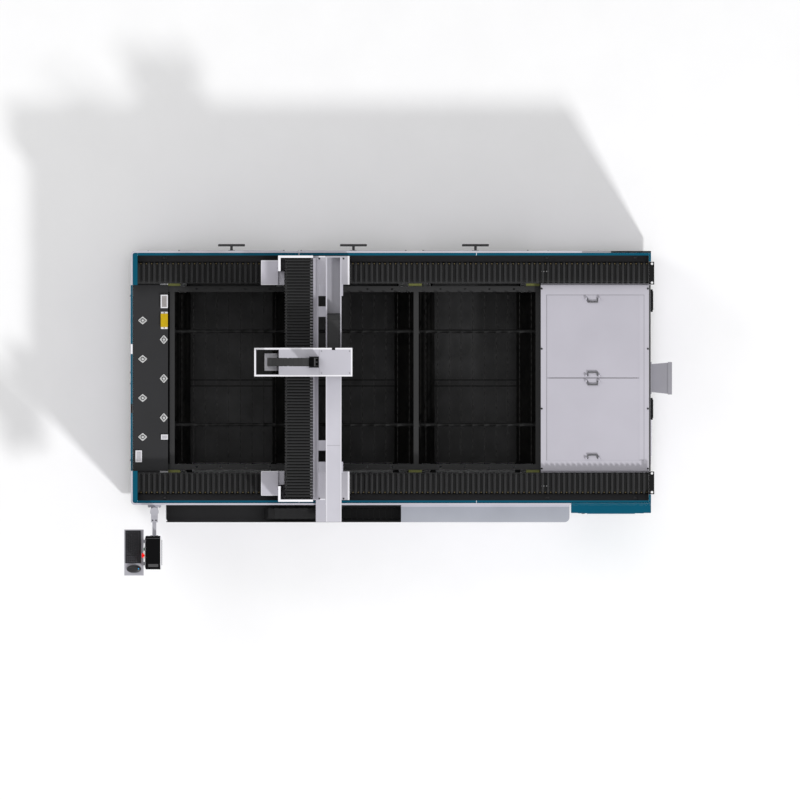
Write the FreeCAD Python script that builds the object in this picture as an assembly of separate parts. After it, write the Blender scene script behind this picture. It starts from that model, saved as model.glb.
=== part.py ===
import FreeCAD
import Part
import math
import os

os.makedirs("parts", exist_ok=True)

# A flat-bed laser cutting machine.  Millimetres, +X along the bed, +Y to the rear, +Z up.
# The origin is on the floor, below the middle of the whole machine.

V = FreeCAD.Vector

# ---- driving dimensions: bed ----
BED_Y = 286.0              # centreline of the bed, where front and rear mirror each other
BED_LEFT = -2406.0
BED_RIGHT = 2276.0
BED_HALF = 1143.0          # centreline to the outer face of a side panel
PANEL = 16.0               # thickness of a side or end panel
CORNER_R = 36.0            # rounded left corners
RIM_Z = 1045.0             # top edge of the side panels
FLOOR_GAP = 90.0           # floor to the underside of the base frame
BASE_TOP = 190.0
BEAM_IN = 850.0            # rail beams, measured from the centreline
BEAM_OUT = 1100.0
BEAM_BOTTOM = 560.0
BEAM_TOP = 900.0
BELLOWS_IN = 850.0
BELLOWS_OUT = 1042.0
BELLOWS_TOP = 1015.0
BELLOWS_WALL = 4.0
TABLE_IN = 774.0
TABLE_OUT = 826.0
TABLE_BOTTOM = 700.0
TABLE_TOP = 850.0
SLAT_TIP = 885.0
SLAT_PITCH = 105.3
SLATS_PER_BAY = 10
BAY_LEFT = -2034.0         # centre of the first cross beam
BAY_PITCH = 1098.0
BAYS = 3
PLATE_TOP = 880.0          # loading plate
DECK_TOP = 922.0
LIP = 0.3                  # gap left between two parts that lie close

# ---- driving dimensions: drives ----
MODULE = 4.0               # tooth size of the racks and pinions
TOOTH_PITCH = MODULE * math.pi
X_TEETH = 20
Y_TEETH = 18
X_PINION_X = -1157.0
X_PINION_D = 940.0         # centreline to the axis of an X pinion
RAIL_D = 1010.0            # centreline to the middle of an X guide rail
Y_PINION_X = -838.0

# ---- driving dimensions: gantry ----
SADDLE_LEFT = -1234.0
SADDLE_RIGHT = -438.0
SADDLE_IN = 841.0
SADDLE_OUT = 1098.0
SADDLE_BOTTOM = 960.0
SADDLE_TOP = 1085.0
BEAM_X0 = -990.0
BEAM_X1 = -718.0
GANTRY_TOP = 1340.0
GANTRY_REAR = 1366.0
GANTRY_FRONT = -806.0
COVER_X0 = -1023.0         # beam bellows
COVER_X1 = -771.0
COVER_TOP = 1400.0
TRUNK_X0 = -651.0
TRUNK_X1 = -510.0
TRUNK_REAR = 1375.0
TRUNK_FRONT = -1010.0
TRUNK_SPLIT = 300.0        # the open trough ends and the closed platform starts
TRUNK_BOTTOM = 1355.0

# ---- driving dimensions: head ----
HEAD_X0 = -1295.0
HEAD_X1 = -412.0
HEAD_Y0 = 300.0
HEAD_Y1 = 557.0
HEAD_Y = 429.0             # nozzle
HEAD_TOP = 1700.0
BAY_X = -1074.0            # right end of the open bay of the head
SLIDE_X0 = -1203.0
SLIDE_X1 = -1090.0
SLIDE_TOP = 1590.0
NOZZLE_X = -1146.0
NOZZLE_TIP = 1000.0
SCREW_X = -1078.0

# ---- driving dimensions: chains ----
X_CHAIN_R = 90.0
X_CHAIN_BEND = -1099.0
X_CHAIN_FIXED = 44.0
X_CHAIN_MOVING = -694.0
X_CHAIN_Z = 786.0          # middle of the lower run
Y_CHAIN_R = 50.0
Y_CHAIN_BEND = 801.0
Y_CHAIN_FIXED = 340.0
Y_CHAIN_MOVING = 484.0
Y_CHAIN_Z = 1385.0
Z_CHAIN_R = 170.0
Z_CHAIN_X = -990.0
Z_CHAIN_Z = 1765.0

# ---- driving dimensions: front ----
TRAY_X0 = -2089.0
TRAY_X1 = 26.0
TRAY_Y0 = -1012.0
TRAY_FLOOR = 760.0
TRAY_RIM = 930.0
PLATFORM_X1 = 1542.0
PLATFORM_TOP = 942.0
PIVOT_X = -2194.0          # console swivel
PIVOT_Y = -917.0


# ---- helpers ----
def box(x0, x1, y0, y1, z0, z1):
    return Part.makeBox(x1 - x0, y1 - y0, z1 - z0, V(x0, y0, z0))


def side_box(side, x0, x1, d0, d1, z0, z1):
    """A box at distances d0 to d1 from the centreline, behind it for side 1 and before it for -1."""
    y0 = BED_Y + side * d0
    y1 = BED_Y + side * d1
    return box(x0, x1, min(y0, y1), max(y0, y1), z0, z1)


def upright(x, y, z0, z1, r):
    return Part.makeCylinder(r, z1 - z0, V(x, y, z0), V(0, 0, 1))


def along_x(x0, x1, y, z, r):
    return Part.makeCylinder(r, x1 - x0, V(x0, y, z), V(1, 0, 0))


def along_y(y0, y1, x, z, r):
    return Part.makeCylinder(r, y1 - y0, V(x, y0, z), V(0, 1, 0))


def prism(points, way):
    """A flat closed outline pushed along a vector."""
    return Part.Face(Part.makePolygon(points + points[:1])).extrude(way)


def fuse(shapes):
    whole = shapes[0]
    for extra in shapes[1:]:
        whole = whole.fuse(extra)
    return whole.removeSplitter()


def save(name, shapes):
    if not isinstance(shapes, list):
        shapes = [shapes]
    solids = []
    for shape in shapes:
        solids.extend(shape.Solids)
    Part.makeCompound(solids).exportStep("parts/" + name + ".step")


def rounded_box(x0, x1, y0, y1, z0, z1, r):
    """A box with its four upright edges rounded."""
    body = box(x0, x1, y0, y1, z0, z1)
    edges = [e for e in body.Edges if abs(e.Vertexes[0].Z - e.Vertexes[1].Z) > 0.5 * (z1 - z0)]
    return body.makeFillet(r, edges)


# ---- teeth ----
def tooth_widths():
    """Half widths of a tooth at its tip, pitch line and root."""
    half = 0.23 * TOOTH_PITCH
    slope = math.tan(math.radians(20.0))
    return half - 0.8 * MODULE * slope, half, half + 1.2 * MODULE * slope


def rack_outline(start, count, pitch_line, back, outward):
    """Points (along, across) of a rack whose teeth point outward from its back."""
    tip, _, root = tooth_widths()
    tip_line = pitch_line + outward * 0.8 * MODULE
    root_line = pitch_line - outward * 1.2 * MODULE
    points = [(start - 0.5 * TOOTH_PITCH, back), (start - 0.5 * TOOTH_PITCH, root_line)]
    for k in range(count):
        middle = start + k * TOOTH_PITCH
        points.append((middle - root, root_line))
        points.append((middle - tip, tip_line))
        points.append((middle + tip, tip_line))
        points.append((middle + root, root_line))
    last = start + (count - 0.5) * TOOTH_PITCH
    points.append((last, root_line))
    points.append((last, back))
    return points


def pinion(x, y, z0, z1, teeth, toward_deg, shaft_r, shaft_top):
    """A pinion with a shaft above it; a gap between two teeth faces the rack at toward_deg."""
    tip, pitch, root = tooth_widths()
    r = 0.5 * MODULE * teeth
    r_tip = r + 0.8 * MODULE
    r_root = r - 1.2 * MODULE
    points = []
    for k in range(teeth):
        middle = math.radians(toward_deg + (k + 0.5) * 360.0 / teeth)
        for radius, half in ((r_root, -0.92 * root), (r, -pitch), (r_tip, -0.85 * tip),
                             (r_tip, 0.85 * tip), (r, pitch), (r_root, 0.92 * root)):
            angle = middle + half / radius
            points.append(V(x + radius * math.cos(angle), y + radius * math.sin(angle), z0))
    gear = prism(points, V(0, 0, z1 - z0))
    return fuse([gear, upright(x, y, z1 - 2, shaft_top, shaft_r)])


# ---- bed ----
def base_frame():
    """Two long bars, cross bars, posts and the bars under the power units."""
    parts = []
    for side in (1, -1):
        parts.append(side_box(side, -2360, 2240, 920, 1020, FLOOR_GAP, BASE_TOP))
    for x in post_places():
        parts.append(box(x - 50, x + 50, BED_Y - 920, BED_Y + 920, FLOOR_GAP, BASE_TOP))
        for side in (1, -1):
            parts.append(side_box(side, x - 50, x + 50, 920, 1020, BASE_TOP, BEAM_BOTTOM))
    for d in (-520, -130, 130, 540):
        parts.append(box(bay_x(BAYS) + 50, 2140, BED_Y + d - 25, BED_Y + d + 25, BASE_TOP - 50, BASE_TOP))
    return parts


def post_places():
    places = [BAY_LEFT + k * BAY_PITCH for k in range(BAYS + 1)]
    return [-2290] + places + [2190]


def leveling_feet():
    feet = []
    for x in post_places():
        for side in (1, -1):
            y = BED_Y + side * 970
            pad = Part.makeCone(60, 45, 22, V(x, y, 0))
            stud = upright(x, y, 20, FLOOR_GAP, 12)
            nut = upright(x, y, 66, FLOOR_GAP, 22)
            feet.append(fuse([pad, stud, nut]))
    return feet


def rail_beam(side):
    return side_box(side, -2384, 2256, BEAM_IN, BEAM_OUT, BEAM_BOTTOM, BEAM_TOP)


def rail_gutters():
    return [side_box(s, -2344, 2256, 1046, 1122, BEAM_TOP, 930) for s in (1, -1)]


def x_rails():
    rails = []
    for side in (1, -1):
        foot = side_box(side, -2336, 2250, RAIL_D - 17, RAIL_D + 17, BEAM_TOP, 932)
        for edge in (-17, 17):
            groove = side_box(side, -2340, 2254, RAIL_D + edge - 4, RAIL_D + edge + 4, 912, 920)
            foot = foot.cut(groove)
        rails.append(foot)
    return rails


def x_racks():
    count = 364
    first = X_PINION_X - 93 * TOOTH_PITCH
    racks = []
    for side in (1, -1):
        outline = rack_outline(first, count, X_PINION_D - 0.5 * MODULE * X_TEETH, 866, 1)
        points = [V(a, BED_Y + side * d, BEAM_TOP) for a, d in outline]
        racks.append(prism(points, V(0, 0, 26)))
    return racks


def side_panel(side):
    """The upper sheet along one side, and the corner sheet that turns on to the left end."""
    low = drawer_head() if side == 1 else FLOOR_GAP + 10
    sheets = [side_box(side, -2345.7, BED_RIGHT, BED_HALF - PANEL, BED_HALF, low, RIM_Z)]
    outer = side_box(side, BED_LEFT, -2346, SADDLE_IN - 4, BED_HALF, FLOOR_GAP + 10, RIM_Z)
    outer = outer.makeFillet(CORNER_R, [e for e in outer.Edges if is_left_corner(e, side, BED_HALF)])
    inner = side_box(side, BED_LEFT + PANEL, -2300, 0, BED_HALF - PANEL, 0, RIM_Z + 1)
    edge = [e for e in inner.Edges if is_left_corner(e, side, BED_HALF - PANEL)]
    sheets.append(outer.cut(inner.makeFillet(CORNER_R - PANEL, edge)))
    return sheets


def drawer_head():
    """Lower edge of the rear sheet, just over the drawer faces."""
    return 428.0


def low_rear_sheets():
    """Filler sheets that stand between the drawer faces."""
    left = -2345.7
    made = []
    for k in range(BAYS + 1):
        right = drawer_x(k) - 484 if k < BAYS else BED_RIGHT
        made.append(side_box(1, left, right, BED_HALF - PANEL, BED_HALF, FLOOR_GAP + 10, drawer_head()))
        left = drawer_x(k) + 484
    return made


def is_left_corner(edge, side, d):
    a = edge.Vertexes[0]
    b = edge.Vertexes[1]
    y = BED_Y + side * d
    return abs(a.X - b.X) < 1 and abs(a.Y - y) < 1 and abs(b.Y - y) < 1 and a.X < -2380


def end_panel_left():
    return box(BED_LEFT, BED_LEFT + PANEL, BED_Y - 836, BED_Y + 836, 100, PLATE_TOP - 8)


def end_panel_right():
    """The right end sheet, with the duct's window cut through it."""
    sheet = box(2257, 2273, BED_Y - 1126, BED_Y + 1126, 100, 900)
    return sheet.cut(box(2250, 2280, 156, 415, 496, 764))


def teal_caps():
    caps = []
    for side in (1, -1):
        caps.append(side_box(side, -2345.7, 2256, 1103, 1126.7, 985, 1036))
        corner = side_box(side, -2389.7, -2346, 837, 1126.7, 985, 1036)
        edge = [e for e in corner.Edges if is_left_corner(e, side, 1126.7)]
        caps.append(corner.makeFillet(CORNER_R - PANEL, edge))
    caps.append(box(BED_LEFT, -2390.3, BED_Y - 836, BED_Y + 836, PLATE_TOP - 8, PLATE_TOP))
    return caps


def end_caps():
    """Short upright strips that close the right end of each side."""
    return [side_box(s, 2256.3, BED_RIGHT, 1049, 1126.7, 900.3, 1036) for s in (1, -1)]


# ---- table ----
def bay_x(k):
    return BAY_LEFT + k * BAY_PITCH


def drawer_x(k):
    return bay_x(k) + 534


def table_side_beams():
    beams = []
    for side in (1, -1):
        beam = side_box(side, -2070, 1283, TABLE_IN, TABLE_OUT, TABLE_BOTTOM, TABLE_TOP)
        for k in range(BAYS):
            for n in range(4):
                x = bay_x(k) + 220 + n * 220
                y = BED_Y + side * 800
                beam = beam.cut(upright(x, y, TABLE_BOTTOM - 1, TABLE_TOP + 1, 9))
        beams.append(beam)
    return beams


def table_cross_beams():
    beams = []
    for k in range(BAYS + 1):
        x = bay_x(k)
        half = 22.5
        beams.append(box(x - half, x + half, BED_Y - TABLE_IN, BED_Y + TABLE_IN, TABLE_BOTTOM, 846))
    return beams


def slat(x):
    """A thin upright plate with a row of points on its upper edge."""
    half = TABLE_IN - LIP
    pitch = 2 * half / 24
    points = [V(x - 2, BED_Y - half, 785), V(x - 2, BED_Y + half, 785)]
    y = BED_Y + half
    points.append(V(x - 2, y, SLAT_TIP - 28))
    for n in range(24):
        points.append(V(x - 2, y - (n + 0.42) * pitch, SLAT_TIP))
        points.append(V(x - 2, y - (n + 0.58) * pitch, SLAT_TIP))
        points.append(V(x - 2, y - (n + 1) * pitch, SLAT_TIP - 28))
    return prism(points, V(4, 0, 0))


def slats():
    made = []
    for k in range(BAYS):
        for n in range(SLATS_PER_BAY):
            made.append(slat(bay_x(k) + 88 + n * SLAT_PITCH))
    return made


def slat_rods():
    """Round bars under the slats, with a flange where each one meets a cross beam."""
    rods = []
    for k in range(BAYS):
        x0 = bay_x(k) + 22.5
        x1 = bay_x(k + 1) - 22.5
        for d in (-420, 420):
            y = BED_Y + d
            rods.append(fuse([along_x(x0, x1, y, 769, 16), along_x(x0, x0 + 8, y, 769, 34),
                              along_x(x1 - 8, x1, y, 769, 34)]))
    return rods


def lugs():
    made = []
    for k in range(BAYS + 1):
        x = bay_x(k) - 8 + (22 if k == 0 else 0) - (40 if k == BAYS else 0)
        for side in (1, -1):
            made.append(side_box(side, x - 60, x + 60, TABLE_OUT, BEAM_IN, 770, 846))
    return made


def chute_sides():
    """Sloping plates along the left and right of each bay, above a drawer."""
    made = []
    for k in range(BAYS):
        left = bay_x(k) + 22.5
        right = bay_x(k + 1) - 22.5
        low_left = drawer_x(k) - 374
        low_right = drawer_x(k) + 374
        for top, low in ((left, low_left), (right, low_right)):
            way = 1 if low > top else -1
            points = [V(top, BED_Y - 770, 732), V(top + way * 5, BED_Y - 770, 732),
                      V(low + way * 5, BED_Y - 770, 430), V(low, BED_Y - 770, 430)]
            made.append(prism(points, V(0, 1540, 0)))
    return made


def drawer_runners():
    made = []
    for k in range(BAYS):
        for way in (-1, 1):
            x = drawer_x(k) + way * 380
            flat = box(x - 25, x + 25, BED_Y - 1000, BED_Y + 1000, BASE_TOP, 198)
            x1 = drawer_x(k) + way * 398
            lip = box(min(x1, x1 + way * 5), max(x1, x1 + way * 5), BED_Y - 1000, BED_Y + 1000, 198, 230)
            made.extend([flat, lip])
    return made


def drawer(k):
    """The sheets of a long open tray: floor, two sides, front end, rear end, and a face plate."""
    x = drawer_x(k)
    floor = box(x - 390, x + 390, -478, 1402, 198.3, 204)
    sides = [box(x - 390, x - 386, -478, 1402, 204, 400), box(x + 386, x + 390, -478, 1402, 204, 400)]
    ends = [box(x - 386, x + 386, -478, -474, 204, 400), box(x - 386, x + 386, 1398, 1402, 204, 400)]
    face = box(x - 480, x + 480, 1402, 1427, 198.3, 424)
    return [floor, face] + sides + ends


def drawer_handle(k):
    x = drawer_x(k)
    stem = along_y(1427.3, 1476, x, 310, 12)
    bar = rounded_box(x - 121, x + 121, 1470, 1491.5, 296, 324, 7)
    foot = along_y(1427.3, 1436, x, 310, 30)
    return [foot.fuse(stem).cut(bar).removeSplitter(), bar]


# ---- loading plate ----
def ball_places():
    """(x, distance behind the centreline, long side across x or along x)"""
    row = [(-2299.0, d, True) for d in (518, 171, -180, -531)]
    return row + [(-2109.0, d, False) for d in (346, -5, -357)]


def loading_plate():
    plate = box(-2389, -2071, BED_Y - 836, BED_Y + 836, PLATE_TOP - 8, PLATE_TOP)
    for x, d, _ in ball_places():
        plate = plate.cut(upright(x, BED_Y + d, PLATE_TOP - 20, PLATE_TOP + 5, 14))
    ledgers = [side_box(s, -2389, -2145, 796, BEAM_IN, 832, PLATE_TOP - 8) for s in (1, -1)]
    return [plate] + ledgers


def ball_flanges():
    """Diamond flanges, each with a cup that holds a ball."""
    made = []
    for x, d, across in ball_places():
        y = BED_Y + d
        long_x, long_y = (43, 37) if across else (37, 43)
        points = [V(x - long_x, y, PLATE_TOP), V(x, y - long_y, PLATE_TOP),
                  V(x + long_x, y, PLATE_TOP), V(x, y + long_y, PLATE_TOP)]
        flange = prism(points, V(0, 0, 6))
        edges = [e for e in flange.Edges if abs(e.Vertexes[0].Z - e.Vertexes[1].Z) > 3]
        flange = flange.makeFillet(8, edges)
        cup = upright(x, y, PLATE_TOP, PLATE_TOP + 9, 19)
        made.append(fuse([flange, cup]).cut(upright(x, y, PLATE_TOP - 5, PLATE_TOP + 20, 12.8)))
    return made


def transfer_balls():
    return [Part.makeSphere(12.5, V(x, BED_Y + d, PLATE_TOP + 3)) for x, d, _ in ball_places()]


def stop_blocks():
    return [box(-2137, -2073, 915, 1035, PLATE_TOP, 896),
            box(-2137, -2073, 745, 865, PLATE_TOP, 896),
            box(-2364, -2306, -472, -366, PLATE_TOP, 890),
            box(-2134, -2073, -268, -223, PLATE_TOP, 890)]


# ---- right end ----
def rear_deck():
    """The plate over the right end, with a stepped opening for two lids."""
    plate = box(1284, 2256, BED_Y - 836, BED_Y + 836, DECK_TOP - 12, DECK_TOP)
    opening = box(1360, 2150, BED_Y - 725, BED_Y + 725, 0, 2000)
    ledge = box(1339.5, 2169.5, BED_Y - 745.5, BED_Y + 745.5, DECK_TOP - 6, 2000)
    ledgers = [side_box(s, 1284, 2256, 790, BEAM_IN, 870, DECK_TOP - 12) for s in (1, -1)]
    return [plate.cut(opening).cut(ledge)] + ledgers


def lid(side):
    return side_box(side, 1340, 2169, 3, 745, DECK_TOP - 6, DECK_TOP + 2)


def bail_places():
    """(distance of the posts, way the bail lies when folded)"""
    return [(715, -1), (20, 1), (-29, -1), (-724, 1)]


BAIL_X0 = 1692.0
BAIL_X1 = 1810.0
BAIL_Z = DECK_TOP + 12


def lid_handle_posts():
    made = []
    for d, _ in bail_places():
        for x in (BAIL_X0, BAIL_X1):
            post = box(x - 8, x + 8, BED_Y + d - 9, BED_Y + d + 9, DECK_TOP + 2, BAIL_Z + 10)
            bore = along_x(x - 9, x + 9, BED_Y + d, BAIL_Z, 4.05)
            made.append(post.cut(bore))
    return made


def bail(d, way):
    """A bar bent into a U that lies flat on the lid and turns in its two posts."""
    y = BED_Y + d
    reach = y + way * 31
    pins = along_x(BAIL_X0 - 10, BAIL_X0 + 20, y, BAIL_Z, 4)
    pins = pins.fuse(along_x(BAIL_X1 - 20, BAIL_X1 + 10, y, BAIL_Z, 4))
    arms = []
    for x in (BAIL_X0 + 16, BAIL_X1 - 16):
        arms.append(along_y(min(y, reach), max(y, reach), x, BAIL_Z, 4.5))
    bar = along_x(BAIL_X0 + 12, BAIL_X1 - 12, reach, BAIL_Z, 6.5)
    return fuse([pins, bar] + arms)


def laser_source():
    return rounded_box(1420, 2020, BED_Y - 600, BED_Y - 60, BASE_TOP, 640, 8)


def drive_cabinet():
    return box(1420, 2060, BED_Y + 60, BED_Y + 620, BASE_TOP, 780)


def duct():
    """A flared square duct with a collar at its outer end."""
    def section(x, y0, y1, z0, z1):
        return Part.makePolygon([V(x, y0, z0), V(x, y1, z0), V(x, y1, z1), V(x, y0, z1), V(x, y0, z0)])
    outer = Part.makeLoft([section(2262, 161, 410, 502, 758), section(2430, 143, 424, 486, 774)], True)
    inner = Part.makeLoft([section(2261, 165, 406, 506, 754), section(2431, 147, 420, 490, 770)], True)
    flange = box(2273.3, 2281, 140, 432, 480, 780).cut(box(2270, 2290, 166, 405, 507, 753))
    collar = box(2428, 2464.6, 137.3, 429.7, 480, 780).cut(box(2420, 2470, 147, 420, 490, 770))
    return fuse([outer.cut(inner), collar, flange.cut(outer)])


def vent_boxes():
    return [rounded_box(2273, 2291, 880, 1084, 560, 780, 4), rounded_box(2273, 2291, -90, 107, 560, 780, 4)]


def bellows_end_brackets():
    """Angle brackets on the ends of the rail beams, each with two holes in its flat leaf."""
    made = []
    for side in (1, -1):
        flat = side_box(side, 2256.3, 2304.7, 841, 1046, BELLOWS_TOP - 8, BELLOWS_TOP)
        web = side_box(side, 2256.3, 2264.3, 841, 1046, BEAM_TOP + 1, BELLOWS_TOP)
        plate = fuse([flat, web])
        for d in (858, 1028):
            plate = plate.cut(upright(2285, BED_Y + side * d, 900, 1100, 11))
        made.append(plate)
    return made


# ---- front ----
def x_tray():
    """The sheets of an open channel along the front, which guides the X chain; one corner is round."""
    r = 40.0
    wall = 5.0
    cx = TRAY_X0 + r
    cy = TRAY_Y0 + r
    floor = box(TRAY_X0, TRAY_X1, TRAY_Y0, -857.2, TRAY_FLOOR, TRAY_FLOOR + 4)
    corner = [e for e in floor.Edges if e.BoundBox.XMax < TRAY_X0 + 1 and e.BoundBox.YMax < TRAY_Y0 + 1]
    floor = floor.makeFillet(r, corner)
    z0 = TRAY_FLOOR + 4
    rear = box(TRAY_X0 + wall, TRAY_X1, -857.2 - wall, -857.2, z0, TRAY_RIM)
    front = box(cx, TRAY_X1, TRAY_Y0, TRAY_Y0 + wall, z0, TRAY_RIM)
    left = box(TRAY_X0, TRAY_X0 + wall, cy, -857.2, z0, TRAY_RIM)
    arc = upright(cx, cy, z0, TRAY_RIM, r).cut(upright(cx, cy, z0, TRAY_RIM, r - wall))
    arc = arc.common(box(TRAY_X0 - 1, cx, TRAY_Y0 - 1, cy, z0, TRAY_RIM))
    return [floor, rear, front, left, arc]


def x_platform():
    body = box(TRAY_X1 + LIP, PLATFORM_X1, TRAY_Y0, -857.2, TRAY_FLOOR, PLATFORM_TOP)
    edge = [e for e in body.Edges if e.Vertexes[0].X > PLATFORM_X1 - 1 and e.Vertexes[1].X > PLATFORM_X1 - 1
            and e.Vertexes[0].Y < TRAY_Y0 + 1 and e.Vertexes[1].Y < TRAY_Y0 + 1]
    body = body.makeFillet(45, edge)
    return body.cut(box(TRAY_X1 - 1, TRAY_X1 + 60, -990, -880, TRAY_FLOOR + 4, TRAY_FLOOR + 60))


def tray_brackets():
    """Gusset plates that hold the tray and platform on the front panel."""
    made = []
    for x in (-1980, -1400, -820, -240, 340, 920, 1480):
        points = [V(x - 4, -857.2, TRAY_FLOOR), V(x - 4, -1000, TRAY_FLOOR), V(x - 4, -857.2, 620)]
        made.append(prism(points, V(8, 0, 0)))
    return made


def service_box():
    return rounded_box(1556, BED_RIGHT, -929, -857.2, 250, 936, 6)


# ---- flexible parts ----
def way_bellows(x0, x1):
    """One channel-shaped cover over each guide way."""
    made = []
    for side in (1, -1):
        outer = side_box(side, x0, x1, BELLOWS_IN, BELLOWS_OUT, 936, BELLOWS_TOP)
        w = BELLOWS_WALL
        inner = side_box(side, x0 - 1, x1 + 1, BELLOWS_IN + w, BELLOWS_OUT - w, 930, BELLOWS_TOP - w)
        made.append(outer.cut(inner))
    return made


def beam_bellows(y0, y1):
    """A hook-shaped cover over the top and the left side of the beam."""
    outer = box(COVER_X0, COVER_X1, y0, y1, 1110, COVER_TOP)
    inner = box(COVER_X0 + 4, COVER_X1 - 4, y0 - 1, y1 + 1, 1100, COVER_TOP - 4)
    right = box(COVER_X1 - 5, COVER_X1 + 1, y0 - 1, y1 + 1, 1100, GANTRY_TOP + 3)
    return outer.cut(inner).cut(right)


def ribbon(fixed, bend, moving, z0, r, half, place, width_way):
    """A chain: a lower run, a half turn of radius r, and an upper run of thickness 2 * half."""
    way = 1 if fixed > bend else -1
    z1 = z0 + 2 * r
    lower = (min(fixed, bend), max(fixed, bend), z0 - half, z0 + half)
    upper = (min(moving, bend), max(moving, bend), z1 - half, z1 + half)
    runs = []
    for a, b, low, high in (lower, upper):
        runs.append(prism([place(a, low), place(b, low), place(b, high), place(a, high)], width_way))
    middle = place(bend, z0 + r)
    ring = Part.makeCylinder(r + half, width_way.Length, middle, width_way)
    ring = ring.cut(Part.makeCylinder(r - half, width_way.Length, middle, width_way))
    far = bend + way * 3 * r
    keep = [place(bend, z0 - r), place(far, z0 - r), place(far, z1 + r), place(bend, z1 + r)]
    ring = ring.cut(prism(keep, width_way))
    return fuse(runs + [ring])


def x_chain():
    def place(x, z):
        return V(x, -985, z)
    return ribbon(X_CHAIN_FIXED, X_CHAIN_BEND, X_CHAIN_MOVING, X_CHAIN_Z, X_CHAIN_R, 21,
                  place, V(0, 100, 0))


def y_chain():
    def place(y, z):
        return V(-637, y, z)
    return ribbon(Y_CHAIN_FIXED, Y_CHAIN_BEND, Y_CHAIN_MOVING, Y_CHAIN_Z, Y_CHAIN_R, 18,
                  place, V(113, 0, 0))


def z_chain():
    """An arch from the Z slide up and over to its bracket on the hood."""
    r0 = Z_CHAIN_R - 18
    r1 = Z_CHAIN_R + 18
    y0 = HEAD_Y - 38
    middle = V(Z_CHAIN_X, y0, Z_CHAIN_Z)
    arch = Part.makeCylinder(r1, 76, middle, V(0, 1, 0)).cut(Part.makeCylinder(r0, 76, middle, V(0, 1, 0)))
    arch = arch.cut(box(Z_CHAIN_X - 300, Z_CHAIN_X + 300, y0 - 1, y0 + 80, Z_CHAIN_Z - 300, Z_CHAIN_Z))
    left = box(Z_CHAIN_X - r1, Z_CHAIN_X - r0, y0, y0 + 76, SLIDE_TOP + LIP, Z_CHAIN_Z)
    right = box(Z_CHAIN_X + r0, Z_CHAIN_X + r1, y0, y0 + 76, HEAD_TOP + 4 + LIP, Z_CHAIN_Z)
    return fuse([arch, left, right])


# ---- gantry ----
def saddle(side):
    """A plate block that carries one end of the beam, with a hole for the pinion shaft."""
    wide = side_box(side, -1081, SADDLE_RIGHT, SADDLE_IN, SADDLE_OUT, SADDLE_BOTTOM, SADDLE_TOP)
    narrow = side_box(side, SADDLE_LEFT, -1081, SADDLE_IN, 1059, SADDLE_BOTTOM, SADDLE_TOP)
    body = fuse([wide, narrow])
    return body.cut(upright(X_PINION_X, BED_Y + side * X_PINION_D, 900, 1200, 12))


def x_guide_blocks():
    made = []
    for side in (1, -1):
        for x in (-1060, -640):
            block = side_box(side, x, x + 130, RAIL_D - 35, RAIL_D + 35, 908, SADDLE_BOTTOM)
            groove = side_box(side, x - 1, x + 131, RAIL_D - 17.4, RAIL_D + 17.4, 900, 932.4)
            made.append(block.cut(groove))
    return made


def x_motor(side):
    y = BED_Y + side * X_PINION_D
    gearbox = box(X_PINION_X - 48, X_PINION_X + 48, y - 48, y + 48, SADDLE_TOP, 1125)
    motor = rounded_box(X_PINION_X - 42, X_PINION_X + 42, y - 42, y + 42, 1124, 1195, 6)
    return fuse([gearbox, motor]).cut(upright(X_PINION_X, y, 1080, 1110, 10.06))


def x_pinion(side):
    y = BED_Y + side * X_PINION_D
    return pinion(X_PINION_X, y, 903, 923, X_TEETH, -90.0 * side, 10, 1108)


def motor_cover(side):
    outer = side_box(side, SADDLE_LEFT, -1081, 837, 1059, SADDLE_TOP, 1208)
    inner = side_box(side, SADDLE_LEFT + 4, -1085, 841, 1055, SADDLE_TOP - 1, 1204)
    wing = side_box(side, -1081, COVER_X0 - 1, 837, 961, SADDLE_TOP, 1190)
    return fuse([outer.cut(inner), wing])


def beam():
    """The cross beam, a closed box."""
    return box(BEAM_X0, BEAM_X1, GANTRY_FRONT, GANTRY_REAR, SADDLE_TOP, GANTRY_TOP)


def end_box(side):
    """Bent sheet at one end of the beam: a left leaf and an end leaf."""
    edge = GANTRY_REAR + 2 if side == 1 else GANTRY_FRONT - 2
    d_end = side * (edge - BED_Y)
    leaf = side_box(side, COVER_X0 - 57, COVER_X0 - 35, d_end - 120, d_end + 20, SADDLE_TOP, 1415)
    end = side_box(side, COVER_X0 - 57, -766, d_end, d_end + 20, SADDLE_TOP, 1415)
    return fuse([leaf, end])


def y_rails():
    top = box(-952, -929, GANTRY_FRONT + 20, GANTRY_REAR - 20, GANTRY_TOP, 1362)
    left = box(-1012, BEAM_X0, GANTRY_FRONT + 20, GANTRY_REAR - 20, 1148, 1171)
    return [top, left]


def y_rack():
    count = 168
    pitch_line = Y_PINION_X + 0.5 * MODULE * Y_TEETH
    first = HEAD_Y - 96 * TOOTH_PITCH
    outline = rack_outline(first, count, pitch_line, -781, -1)
    return prism([V(a, y, GANTRY_TOP) for y, a in outline], V(0, 0, 22))


def beam_strips():
    """Two narrow cover strips along the right edge of the beam, with a groove between them."""
    return [box(-766, -741, GANTRY_FRONT, GANTRY_REAR, GANTRY_TOP, 1349),
            box(-736, -718, GANTRY_FRONT, GANTRY_REAR, GANTRY_TOP, 1349)]


def trunk_trough():
    outer = box(TRUNK_X0, TRUNK_X1, TRUNK_SPLIT + LIP, TRUNK_REAR, TRUNK_BOTTOM, 1440)
    inner = box(TRUNK_X0 + 4, TRUNK_X1 - 4, TRUNK_SPLIT - 5, TRUNK_REAR - 4, TRUNK_BOTTOM + 4, 1441)
    body = outer.cut(inner)
    for x0 in (TRUNK_X0, TRUNK_X1 - 12):
        body = body.fuse(box(x0, x0 + 12, TRUNK_SPLIT + LIP, TRUNK_REAR, 1437, 1440))
    return body.removeSplitter()


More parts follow.
